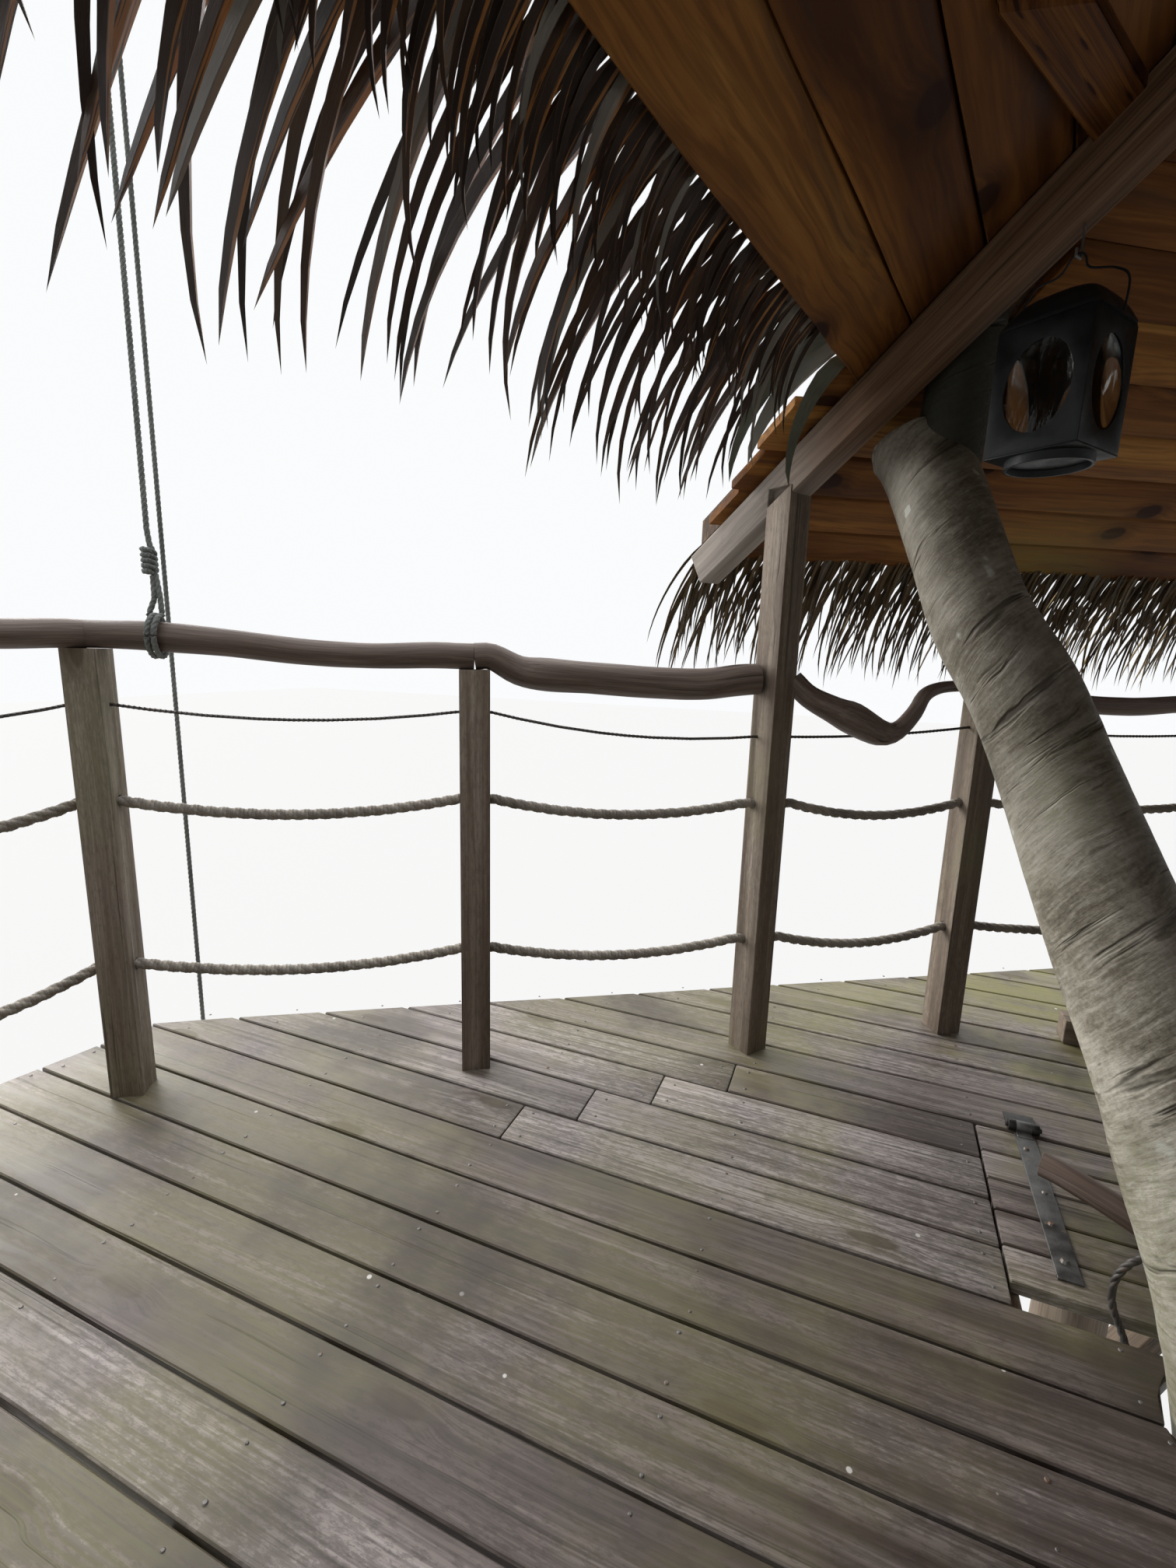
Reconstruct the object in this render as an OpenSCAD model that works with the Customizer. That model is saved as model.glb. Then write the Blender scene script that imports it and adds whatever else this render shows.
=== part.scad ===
// Roofed terrace of a tree house: a boarded deck on log legs, carried beside a living trunk that
// leans through the floor and the roof, with a hatch, a rail of crooked branches and ropes, and an
// eight-sided thatched roof on posts.
// +Z is up. The origin is under the middle of the roof, on the ground, at the centre leg's foot.
// X runs along the deck boards. The house itself stands turned by house_turn about Z.

/* [Terrace] */
// Height of the deck's top above the ground
deck_height = 3600; // [2600:50:4500]
// Angle between the deck boards and the terrace's long side
house_turn = 32; // [29:1:35]
// Half the terrace's length
deck_half_length = 3500; // [3400:10:3900]
// Half the terrace's width
deck_half_width = 2680; // [2600:10:3000]
// How far the cut corner runs along the length
deck_corner_length = 700; // [500:10:800]
// How far the cut corner runs along the width
deck_corner_width = 720; // [500:10:800]
// Thickness of a deck board
board_t = 28; // [22:1:40]
// Spacing of the deck boards
board_pitch = 142; // [120:1:150]
// Open joint between two boards
board_gap = 7; // [4:1:10]

/* [Support] */
// Width of a joist
joist_w = 70; // [50:1:90]
// Height of a joist
joist_h = 140; // [120:5:200]
// Spacing of the joists
joist_pitch = 560; // [450:10:700]
// Width of a main beam
beam_w = 100; // [80:5:140]
// Height of a main beam
beam_h = 200; // [160:5:260]
// Distance of the outer beams from the middle beam
beam_spacing = 1950; // [1900:10:2100]
// Distance of the outer legs from the middle legs along the beams
leg_spacing = 2600; // [2200:50:2800]
// Diameter of a log leg
leg_d = 200; // [160:5:260]
// Side of a knee brace
brace_side = 90; // [60:5:95]
// How far a knee brace reaches along the beam
brace_reach = 650; // [400:10:800]

/* [Hatch] */
// Edge of the hatch hole along X
hatch_x = 806; // [780:1:830]
// Far edge of the hatch hole, a joint between two boards
hatch_y = -1340; // [-1350:1:-1320]
// Length of the hatch hole along the boards
hatch_w = 615; // [590:5:640]
// Deck boards that the hatch hole takes
hatch_boards = 4; // [4:1:4]
// Open slot left beside the lid's near edge
hatch_slot = 48; // [46:1:70]
// Gap round the lid
hatch_gap = 6; // [5:0.5:8]
// How far the lid's ends bear on the trimmers
lid_bearing = 19; // [12:1:25]
// Width of a cleat under the lid
cleat_w = 60; // [40:5:80]
// Depth of a cleat under the lid
cleat_h = 30; // [20:1:40]
// Distance of a hinge strap from the lid's end
strap_inset = 110; // [90:5:140]
// Width of a hinge strap
strap_w = 45; // [30:1:55]
// Thickness of the hinge straps and leaves
strap_t = 5; // [3:0.5:6]
// Diameter of the hinge barrel
barrel_d = 28; // [22:1:34]
// Length of the hinge barrel
barrel_l = 70; // [60:1:80]
// Diameter of the hinge pin
hinge_pin_d = 12; // [8:1:14]
// Diameter of the branch that serves as grip
grip_d = 55; // [40:1:60]

/* [Posts and rail] */
// Side of every post
post_side = 80; // [70:1:95]
// Height of the rail posts
rail_post_h = 1150; // [1050:10:1250]
// Distance of the rail from the deck's edge
rail_inset = 350; // [250:10:400]
// Thickness of the branches of the handrail
handrail_d = 70; // [60:1:76]
// Thickness of the hemp ropes
rope_d = 30; // [20:1:36]
// Height of the upper rope at the posts
upper_rope_h = 790; // [700:10:820]
// Height of the lower rope at the posts
lower_rope_h = 362; // [300:10:450]
// Sag of the hemp ropes between two posts
rope_sag = 40; // [20:1:60]
// Thickness of the steel cable
cable_d = 9; // [6:1:12]
// Height of the cable at the posts
cable_h = 1020; // [980:5:1025]
// Sag of the cable between two posts
cable_sag = 30; // [10:1:40]

/* [Roof] */
// Distance of the roof posts from the middle
post_ring_r = 2500; // [2450:10:2600]
// Height of the rafters' underside at the posts
eave_h = 1600; // [1550:2:1700]
// Pitch of the roof
roof_pitch = 33.2; // [30:0.1:36]
// Width of a hip rafter
rafter_w = 76; // [60:1:78]
// Depth of a hip rafter
rafter_h = 95; // [85:1:130]
// How far the rafters run past the posts
rafter_tail = 300; // [150:10:350]
// Thickness of the cheek on the post that laps the rafter
cheek_t = 25; // [15:1:30]
// Height of that cheek above the rafter's underside
cheek_h = 20; // [15:1:60]
// Width of the block where the rafters meet
hub_d = 240; // [220:2:300]
// Thickness of the ceiling boards
ceiling_t = 22; // [18:1:30]
// Ceiling boards past the posts on the two straight sides
eave_long = 332; // [250:1:380]
// Ceiling boards short of the posts on the other six sides
eave_short = 184; // [150:1:300]
// Thickness of the thatch
thatch_t = 120; // [90:5:180]
// How far the thatch runs past the posts
thatch_past = 420; // [400:10:500]
// Length of the hanging leaf tips
fringe_l = 430; // [300:10:480]
// Spacing of the hanging leaf tips
fringe_pitch = 85; // [60:5:120]
// Thickness of the hanging leaves
fringe_t = 40; // [20:2:60]

/* [Trunk] */
// Diameter of the trunk where it passes the deck
trunk_d = 280; // [250:5:290]
// Space that the boards leave round the trunk
trunk_gap = 25; // [15:1:40]
// Diameter of the limb that carries the hoist rope
limb_d = 110; // [90:2:120]
// Thickness of the hoist rope
hoist_d = 14; // [10:1:16]
// Height of the hoist rope's loose end above the ground
hoist_end_h = 600; // [300:50:1200]

/* [Lantern] */
// Distance of the lantern from the middle of the roof
lantern_r = 1855; // [1800:5:1880]
// Side of the lantern
lantern_side = 164; // [150:2:190]
// Height of the lantern's box
lantern_box_h = 220; // [180:5:240]
// Height of the lantern's domed lid
lantern_dome_h = 60; // [40:1:64]
// Thickness of the lantern's sheet
lantern_wall = 3; // [2:0.5:4]
// Diameter of the ring under the lantern
lantern_ring_d = 150; // [120:2:150]
// Thickness of the lantern's bail
bail_d = 4; // [3:0.5:5]
// Length of the hook below the rafter
hook_drop = 58; // [50:1:66]

/* [Hidden] */
$fn = 48;

// Small gaps: between touching round pieces, in the hinge, and at the hips
fit = 0.3;
run_gap = 0.05;
hip_gap = 3;
side_count = 8;
side_turn = 360 / side_count;
half_turn = side_turn / 2;
big = 9000;

// Straight lines and directions
function unit(v) = v / norm(v);
function spot(p) = [p[0], p[1], p[2]];
function flat(v) = [v[0], v[1], 0];

// A tube along points [x, y, z, diameter], with rings square to the path. The first and last
// rings can be turned to face a given way.
function heading(path, i, first, last) =
    i == 0 && first != undef ? first :
    i == len(path) - 1 && last != undef ? last :
    unit(spot(path[min(i + 1, len(path) - 1)]) - spot(path[max(i - 1, 0)]));
function ring(p, along, sides, up) =
    let (side = unit(cross(along, up)), over = cross(side, along))
    [for (k = [0:sides - 1])
        spot(p) + p[3] / 2 * (cos(360 * k / sides) * side + sin(360 * k / sides) * over)];
function strip_faces(i, j, sides) =
    [for (k = [0:sides - 1]) let (n = (k + 1) % sides)
        each [[i * sides + k, i * sides + n, j * sides + n], [i * sides + k, j * sides + n, j * sides + k]]];

module sweep(path, sides = 10, up = [0, 0, 1], first = undef, last = undef) {
    rings = [for (i = [0:len(path) - 1]) each ring(path[i], heading(path, i, first, last), sides, up)];
    end = (len(path) - 1) * sides;
    polyhedron(
        points = rings,
        faces = concat(
            [[for (k = [sides - 1:-1:0]) k]],
            [for (i = [0:len(path) - 2]) each strip_faces(i, i + 1, sides)],
            [[for (k = [0:sides - 1]) end + k]]
        )
    );
}

// The same tube closed into a loop
module sweep_loop(path, sides = 8) {
    n = len(path);
    polyhedron(
        points = [for (i = [0:n - 1])
            let (ahead = spot(path[(i + 1) % n]), back = spot(path[(i + n - 1) % n]))
            each ring(path[i], unit(ahead - back), sides, [0, 0, 1])],
        faces = [for (i = [0:n - 1]) each strip_faces(i, (i + 1) % n, sides)]
    );
}

// Frames: the deck's top, and the house turned on it
module on_deck() {
    translate([0, 0, deck_height]) children();
}

module in_house() {
    translate([0, 0, deck_height]) rotate([0, 0, house_turn]) children();
}

// Deck and what carries it
deck_outline = [
    [deck_half_length, -deck_half_width + deck_corner_width],
    [deck_half_length, deck_half_width - deck_corner_width],
    [deck_half_length - deck_corner_length, deck_half_width],
    [-deck_half_length + deck_corner_length, deck_half_width],
    [-deck_half_length, deck_half_width - deck_corner_width],
    [-deck_half_length, -deck_half_width + deck_corner_width],
    [-deck_half_length + deck_corner_length, -deck_half_width],
    [deck_half_length - deck_corner_length, -deck_half_width]
];
joist_setback = 60;
joist_shrink = (deck_half_width - joist_setback) / deck_half_width;
hatch_l = hatch_boards * board_pitch;
hatch_far = hatch_y;
hatch_near = hatch_y + hatch_l;
hatch_left = hatch_x + hatch_w;
lid_far = hatch_far + hatch_gap;
lid_near = hatch_near - hatch_gap - hatch_slot;
trimmer_reach = hatch_gap + lid_bearing;
trimmer_right = hatch_x + trimmer_reach - joist_w;
trimmer_left = hatch_left - trimmer_reach;
header_clear = 165;
header_far = hatch_far + trimmer_reach - joist_w;

// Points along the trunk, [x, y, height, share of trunk_d]: below the deck the height is a share
// of deck_height, above it millimetres above the deck
trunk_below = [
    [795, -176, -1, 1.6], [800, -186, -0.96, 1.36], [812, -206, -0.86, 1.26],
    [846, -276, -0.6, 1.16], [906, -396, -0.34, 1.1], [992, -546, -0.14, 1.04]
];
trunk_above = [
    [1076, -640, 0, 1], [1110, -680, 150, 0.97], [1140, -722, 250, 0.95], [1182, -775, 360, 0.93],
    [1230, -836, 500, 0.9], [1320, -970, 730, 0.84], [1406, -1106, 965, 0.79],
    [1482, -1166, 1139, 0.77], [1570, -1226, 1289, 0.74], [1636, -1296, 1467, 0.72],
    [1690, -1380, 1620, 0.74], [1728, -1430, 1712, 0.75], [1738, -1442, 1752, 0.72]
];
// The limb that leaves it below the cut stub and goes on through the roof
limb_path = [
    [1664, -1390, 1570, 0.5], [1658, -1455, 1700, 0.58], [1655, -1512, 1830, 0.56],
    [1645, -1570, 1980, 0.54],
    [1622, -1655, 2180, 0.52], [1600, -1740, 2420, 0.5], [1590, -1800, 2700, 0.46], [1586, -1820, 2900, 0.42]
];
stub_cut = unit([0.45, 0.1, 0.9]);
stem_path = concat(
    [for (p = trunk_below) [p[0], p[1], p[2] * deck_height, p[3] * trunk_d]],
    [for (p = trunk_above) [p[0], p[1], p[2], p[3] * trunk_d]]
);
trunk_hole_d = trunk_d + 2 * trunk_gap;
trunk_sides = 16;

// The limb over the terrace's corner, as shares of the way from the trunk to the hoist rope,
// [share, height, offset, share of limb_d]
limb_start = [1598, -1752, 2470];
limb_bends = [
    [0, 0, 0, 1], [0.1, 150, 8, 0.96], [0.25, 310, 20, 0.9], [0.42, 430, 10, 0.8], [0.6, 520, -12, 0.68],
    [0.78, 590, -16, 0.55], [0.93, 622, -4, 0.42], [1, 630, 0, 0.4], [1.05, 636, 0, 0.38],
    [1.12, 650, 6, 0.3]
];

// Roof planes, measured above the deck: a is the distance from the middle square to an eave, r the
// distance along a hip
plane_slope = tan(roof_pitch);
hip_slope = plane_slope * cos(half_turn);
hip_pitch = atan(hip_slope);
post_apothem = post_ring_r * cos(half_turn);
rafter_rise = rafter_h / cos(hip_pitch);
backing = plane_slope * sin(half_turn) * rafter_w / 2;
ceiling_rise = ceiling_t / cos(roof_pitch);
thatch_rise = thatch_t / cos(roof_pitch);
function rafter_under(r) = eave_h + hip_slope * (post_ring_r - r);
function ceiling_under(a) = eave_h + rafter_rise + backing + fit + plane_slope * (post_apothem - a);
hub_apothem = hub_d / 2;
ceiling_in = 40;
thatch_in = 20;
thatch_edge = post_apothem + thatch_past;
house_side = [0, 4];
function is_long(k) = k == house_side[0] || k == house_side[1];
function ceiling_edge(k) = is_long(k) ? post_apothem + eave_long : post_apothem - eave_short;
function half_width(a) = a * tan(half_turn) - hip_gap / 2 / cos(half_turn);

// Rail: the posts in order round the terrace, [x, y, way of the rope, 1 for a roof post]
rail_x = deck_half_length - rail_inset;
rail_y = deck_half_width - rail_inset;
rail_corner_x = 435;
rail_corner_y = 500;
roof_x = post_ring_r * sin(half_turn);
roof_y = post_apothem;
side_y = rail_y - rail_corner_y;
far_row = [
    [rail_x, -side_y, -90, 0],
    [rail_x - rail_corner_x, -rail_y, 180, 0],
    [rail_x - rail_corner_x - 920, -rail_y, 180, 0],
    [roof_x, -roof_y, 180, 1],
    [265, -rail_y, 180, 0],
    [-roof_x, -roof_y, 180, 1],
    [-rail_x + rail_corner_x + 920, -rail_y, 180, 0],
    [-rail_x + rail_corner_x, -rail_y, 180, 0]
];
right_row = [for (share = [-1, -0.5, 0, 0.5]) [-rail_x, share * side_y, 90, 0]];
near_row = [
    [-rail_x, side_y, 90, 0],
    [-rail_x + rail_corner_x, rail_y, 0, 0],
    [-rail_x + rail_corner_x + 920, rail_y, 0, 0],
    [-roof_x, roof_y, 0, 1],
    [0, rail_y, 0, 0],
    [roof_x, roof_y, 0, 1],
    [rail_x - rail_corner_x - 920, rail_y, 0, 0],
    [rail_x - rail_corner_x, rail_y, 0, 0]
];
left_row = [for (share = [1, 0.5, 0, -0.5]) [rail_x, share * side_y, -90, 0]];
stations = concat(far_row, right_row, near_row, left_row);
station_count = len(stations);

// Trims of the first posts, which differ on the real rail
post_trim = [20, 26, -4, 0, -37];
rope_trim = [10, 10, 7, -10, -20];
cable_trim = [22, 22, 14, -45, -15];
function trim(list, i) = i < len(list) ? list[i] : 0;
function station(i) = stations[(i + station_count) % station_count];
function station_at(i) = [station(i)[0], station(i)[1], 0];
function on_roof_post(i) = station(i)[3] == 1;
function post_top(i) = rail_post_h + trim(post_trim, (i + station_count) % station_count);
function rope_way(i) = [cos(station(i)[2]), sin(station(i)[2]), 0];
turned_reach = post_side / 2 * (cos(half_turn) + sin(half_turn));
bore_reach = post_side / 2 / cos(half_turn);
function rope_reach(i, d) = on_roof_post(i) ? bore_reach + d : post_side / 2 + 4;
function slack(i, d) = i == 3 && d == cable_d ? 0.3 : 1;
function sagging(i, h, heights, d, sag) =
    let (
        a = station_at(i) + [0, 0, h + trim(heights, i)],
        b = station_at(i + 1) + [0, 0, h + trim(heights, (i + 1) % station_count)],
        out = a + rope_way(i) * rope_reach(i, d),
        inn = b - rope_way(i + 1) * rope_reach(i + 1, d)
    )
    concat(
        [[each a - rope_way(i) * rope_reach(i, d), d], [each out, d]],
        [for (f = [0.25, 0.5, 0.75])
            [each out + f * (inn - out) - [0, 0, 4 * f * (1 - f) * slack(i, d) * sag], d]]
    );
function rail_line(h, heights, d, sag) =
    [for (i = [0:station_count - 1]) each sagging(i, h, heights, d, sag)];

// Handrail branches between two posts, each point [share of the span, rise, offset inward, share
// of handrail_d]; the rest of the rail takes its bends from a rule
bends = [
    [[0.4, 3, 0, 1], [0.7, -4, 0, 0.98]],
    [[0.17, 4, 0, 1.04], [0.36, -2, 0, 1], [0.55, -14, 0, 0.96], [0.72, -13, 0, 0.94], [0.89, -3, 0, 1]],
    [[0.14, -28, 0, 1.15], [0.23, -34, 0, 1.3], [0.37, -34, 0, 1.26], [0.56, -34, 0, 1.28],
        [0.74, -30, 0, 1.28], [0.87, -10, 0, 1.3]],
    [[0.14, -44, 20, 0.94], [0.24, -80, 45, 1.13], [0.32, -102, 55, 1.36], [0.44, -139, 62, 1.14],
        [0.52, -132, 64, 0.78], [0.6, -80, 56, 0.66], [0.65, -31, 45, 0.6], [0.74, -8, 26, 0.52],
        [0.86, -1, 8, 0.48]],
    [[0.25, -50, 0, 0.8], [0.42, -60, 0, 0.84], [0.58, -50, 0, 0.8], [0.78, -36, 0, 0.82]]
];
wobble = 14;
branch_sides = 10;
branch_drop = cos(180 / branch_sides) / 2;
butt_h = rail_post_h - 12;
joint_half = 1.5;
function span_way(i) = unit(station_at(i + 1) - station_at(i));
function joint_way(i) = unit(span_way(i) + span_way(i - 1));
function seat(i, d) = station_at(i) + [0, 0, on_roof_post(i) ? butt_h : post_top(i) + fit + d * branch_drop];
function bend_list(i) = i < len(bends) ? bends[i] :
    [for (f = [0.25, 0.5, 0.75])
        [f, wobble * sin(137 * i + 300 * f), wobble * sin(61 * i + 210 * f),
            1 + 0.08 * sin(97 * i + 400 * f)]];
function branch_ends(i) =
    i == 2 ? [1.02, 1.25] : i == 3 ? [0.88, 0.5] : i == 4 ? [0.66, 0.8] : [1, 1];
function branch_path(i) =
    let (
        d_a = handrail_d * branch_ends(i)[0],
        d_b = handrail_d * branch_ends(i)[1],
        a = seat(i, d_a),
        b = seat(i + 1, d_b),
        way = span_way(i),
        inward = [way[1], -way[0], 0],
        flat_reach = post_side / 2 * (abs(way[0]) + abs(way[1])) + 6
    )
    concat(
        on_roof_post(i) ? [[each a + (turned_reach + fit) * way, d_a]] :
            [[each a + joint_half * joint_way(i), d_a], [each a + flat_reach * way, d_a]],
        [for (p = bend_list(i)) [each a + p[0] * (b - a) + [0, 0, p[1]] + p[2] * inward, handrail_d * p[3]]],
        on_roof_post(i + 1) ? [[each b - (turned_reach + fit) * way, d_b]] :
            [[each b - flat_reach * way, d_b], [each b - joint_half * joint_way(i + 1), d_b]]
    );

module branch(i) {
    in_house()
        sweep(
            branch_path(i), branch_sides,
            first = on_roof_post(i) ? span_way(i) : joint_way(i),
            last = on_roof_post(i + 1) ? span_way(i) : joint_way(i + 1)
        );
}

module deck_shape(shrink = 1) {
    rotate([0, 0, house_turn]) scale([shrink, shrink, 1]) polygon(deck_outline);
}

module deck_slab(x0, x1, y0, y1) {
    on_deck()
        translate([0, 0, -board_t])
            linear_extrude(board_t)
                intersection() {
                    deck_shape();
                    translate([x0, y0]) square([x1 - x0, y1 - y0]);
                }
}

module under_deck(x, y0, y1) {
    on_deck()
        translate([0, 0, -board_t - joist_h])
            linear_extrude(joist_h)
                intersection() {
                    deck_shape(joist_shrink);
                    translate([x, y0]) square([joist_w, y1 - y0]);
                }
}

module trunk() {
    color("darkkhaki")
        on_deck() {
            sweep(stem_path, trunk_sides, [0, 1, 0], [0, 0, 1], stub_cut);
            upper_limb();
        }
}

module upper_limb() {
    path = [for (p = limb_path) [p[0], p[1], p[2], p[3] * trunk_d]];
    sweep(path, trunk_sides, [0, 1, 0], [0, 0, 1], [0, 0, 1]);
}

module hoist_limb() {
    color("darkkhaki")
        on_deck()
            difference() {
                sweep(hoist_limb_path, branch_sides);
                upper_limb();
            }
}

module support_legs() {
    color("peru")
        rotate([0, 0, house_turn])
            for (x = [-leg_spacing, 0, leg_spacing], y = [-beam_spacing, 0, beam_spacing])
                translate([x, y, 0]) cylinder(d = leg_d, h = deck_height - board_t - joist_h - beam_h);
}

module main_beams() {
    beam_l = 2 * (deck_half_length - joist_setback) - deck_corner_length;
    beam_z = -board_t - joist_h - beam_h;
    color("burlywood")
        in_house()
            for (y = [-beam_spacing, 0, beam_spacing])
                translate([-beam_l / 2, y - beam_w / 2, beam_z]) cube([beam_l, beam_w, beam_h]);
}

module knee_brace() {
    foot = leg_d / 2;
    drop = brace_side / cos(45);
    rotate([90, 0, 0])
        translate([0, 0, -brace_side / 2])
            linear_extrude(brace_side)
                polygon([
                    [foot, -brace_reach], [foot, -brace_reach - drop],
                    [foot + brace_reach + drop, 0], [foot + brace_reach, 0]
                ]);
}

module knee_braces() {
    color("tan")
        in_house()
            for (x = [-leg_spacing, 0, leg_spacing], y = [-beam_spacing, beam_spacing])
                translate([x, y, -board_t - joist_h - beam_h])
                    for (turn = x > 0 ? [180] : x < 0 ? [0] : [0, 180])
                        rotate([0, 0, turn]) knee_brace();
}

module joists() {
    color("burlywood") {
        for (x = [trimmer_right - joist_pitch:-joist_pitch:-deck_half_length]) under_deck(x, -big, big);
        for (x = [trimmer_left + joist_pitch:joist_pitch:deck_half_length]) under_deck(x, -big, big);
    }
}

module hatch_trimmers() {
    color("burlywood") {
        under_deck(trimmer_right, -big, big);
        under_deck(trimmer_left, -big, big);
        for (y = [header_far, hatch_near + trunk_d + header_clear - joist_w])
            on_deck()
                translate([trimmer_right + joist_w, y, -board_t - joist_h])
                    cube([trimmer_left - trimmer_right - joist_w, joist_w, joist_h]);
    }
}

module deck_far() {
    color("gray") deck_slab(-big, big, -big, hatch_far - board_gap / 2);
}

module deck_near() {
    color("gray")
        difference() {
            deck_slab(-big, big, hatch_near + board_gap / 2, big);
            on_deck()
                translate([trunk_above[0][0], trunk_above[0][1], -2 * board_t])
                    cylinder(d = trunk_hole_d, h = 3 * board_t);
        }
}

module deck_left() {
    color("darkgray") deck_slab(hatch_left, big, hatch_far + board_gap / 2, hatch_near - board_gap / 2);
}

module deck_right() {
    color("darkgray") deck_slab(-big, hatch_x, hatch_far + board_gap / 2, hatch_near - board_gap / 2);
}

// Hatch: the lid with its cleats, straps and grip turns about the hinge pins
hinge_y = hatch_far - 8;
barrel_lift = 0.5;
hinge_z = barrel_d / 2 + barrel_lift;
lid_x = hatch_x + hatch_gap;
lid_w = hatch_w - 2 * hatch_gap;
lid_l = lid_near - lid_far;
strap_x = [lid_x + strap_inset, lid_x + lid_w - strap_inset];
knuckle_l = barrel_l / 2;
knuckle_gap = 0.5;
leaf_l = 70;
strap_short = 45;

module hatch_lid() {
    color("darkkhaki")
        on_deck()
            translate([lid_x, lid_far, -board_t]) cube([lid_w, lid_l, board_t]);
}

module hatch_cleats() {
    cleat_end = 42;
    color("tan")
        on_deck()
            for (x = strap_x)
                translate([x - cleat_w / 2, lid_far + cleat_end, -board_t - cleat_h])
                    cube([cleat_w, lid_l - 2 * cleat_end, cleat_h]);
}

module knuckle(x, l) {
    translate([x, hinge_y, hinge_z]) rotate([0, 90, 0]) cylinder(d = barrel_d, h = l);
}

module pin_bore() {
    translate([0, hinge_y, hinge_z])
        rotate([0, 90, 0]) cylinder(d = hinge_pin_d + 2 * run_gap, h = big);
}

module hatch_straps() {
    link_lift = 1.5;
    link_l = 20;
    color("dimgray")
        on_deck()
            difference() {
                for (x = strap_x) {
                    translate([x - strap_w / 2, lid_far, 0]) cube([strap_w, lid_l - strap_short, strap_t]);
                    translate([x - knuckle_l / 2, hinge_y, link_lift])
                        cube([knuckle_l, lid_far - hinge_y + link_l, strap_t]);
                    knuckle(x - knuckle_l / 2, knuckle_l);
                }
                pin_bore();
            }
}

module hinge_leaves() {
    side_l = (barrel_l - knuckle_l) / 2 - knuckle_gap;
    color("dimgray")
        on_deck()
            difference() {
                for (x = strap_x) {
                    translate([x - barrel_l / 2, hinge_y - leaf_l, 0])
                        cube([barrel_l, leaf_l - barrel_d / 2 - 2, strap_t]);
                    for (start = [x - barrel_l / 2, x + barrel_l / 2 - side_l]) {
                        knuckle(start, side_l);
                        translate([start, hinge_y - leaf_l, 0])
                            cube([side_l, leaf_l - board_gap, strap_t]);
                    }
                }
                pin_bore();
            }
}

module hinge_pins() {
    pin_head = 6;
    color("black")
        on_deck()
            for (x = strap_x)
                translate([x - barrel_l / 2 - pin_head, hinge_y, hinge_z])
                    rotate([0, 90, 0]) cylinder(d = hinge_pin_d, h = barrel_l + 2 * pin_head);
}

module hatch_grip() {
    rest = fit + grip_d * branch_drop;
    foot = strap_inset + strap_w / 2 + 18;
    color("saddlebrown")
        on_deck()
            translate([lid_x, lid_near, 0])
                sweep([
                    [507, -280, 85, grip_d], [434, -240, 80, grip_d], [354, -200, 66, 1.04 * grip_d],
                    [foot + 125, -166, rest + 10, grip_d], [foot + 60, -142, rest, grip_d],
                    [foot, -126, rest, 0.96 * grip_d]
                ], branch_sides);
}

// Roof frame
cheek_gap = 0.2;

module profile_plate(profile, width, y) {
    translate([0, y, 0]) rotate([90, 0, 0]) translate([0, 0, -width]) linear_extrude(width) polygon(profile);
}

module roof_post(k) {
    half = post_side / 2;
    inner = post_ring_r - half;
    outer = post_ring_r + half;
    rotate([0, 0, -90 + half_turn + k * side_turn]) {
        profile_plate(
            [[inner, 0], [outer, 0], [outer, rafter_under(outer)], [inner, rafter_under(inner)]],
            post_side, -half
        );
        profile_plate(
            [
                [inner, 0], [outer, 0],
                [outer, rafter_under(outer) + cheek_h], [inner, rafter_under(inner) + cheek_h]
            ],
            cheek_t, half - cheek_t
        );
    }
}

module rope_bore(i, h, d) {
    translate(station_at(i) + [0, 0, h])
        rotate([0, 0, station(i)[2]])
            rotate([0, 90, 0]) cylinder(d = d + 2 * fit, h = 2 * post_side, center = true);
}

module rope_bores(i) {
    rope_bore(i, upper_rope_h + trim(rope_trim, i), rope_d);
    rope_bore(i, lower_rope_h, rope_d);
    rope_bore(i, cable_h + trim(cable_trim, i), cable_d);
}

module roof_posts() {
    color("rosybrown")
        in_house()
            difference() {
                for (k = [0:side_count - 1]) roof_post(k);
                for (i = [0:station_count - 1]) if (on_roof_post(i)) rope_bores(i);
            }
}

module hip_rafter(k) {
    inner = hub_apothem + fit;
    outer = post_ring_r + rafter_tail;
    tail_cut = rafter_h * sin(hip_pitch);
    cheek_top = rafter_under(post_ring_r - post_side / 2) + cheek_h + cheek_gap;
    rotate([0, 0, -90 + half_turn + k * side_turn])
        difference() {
            profile_plate(
                [
                    [inner, rafter_under(inner)], [outer, rafter_under(outer)],
                    [outer + tail_cut, rafter_under(outer + tail_cut) + rafter_rise],
                    [inner, rafter_under(inner) + rafter_rise]
                ],
                rafter_w, -rafter_w / 2
            );
            translate([post_ring_r - post_side / 2 - cheek_gap, post_side / 2 - cheek_t - cheek_gap, 0])
                cube([post_side + 2 * cheek_gap, cheek_t, cheek_top]);
        }
}

module hip_rafters() {
    color("sienna")
        in_house()
            for (k = [0:side_count - 1]) hip_rafter(k);
}

module roof_hub() {
    hub_low = 60;
    hub_r = hub_apothem / cos(half_turn);
    hub_foot = rafter_under(hub_apothem) - hub_low;
    color("sienna")
        in_house()
            translate([0, 0, hub_foot])
                cylinder(r = hub_r, h = ceiling_under(hub_r) - hub_foot - fit, $fn = side_count);
}

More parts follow.
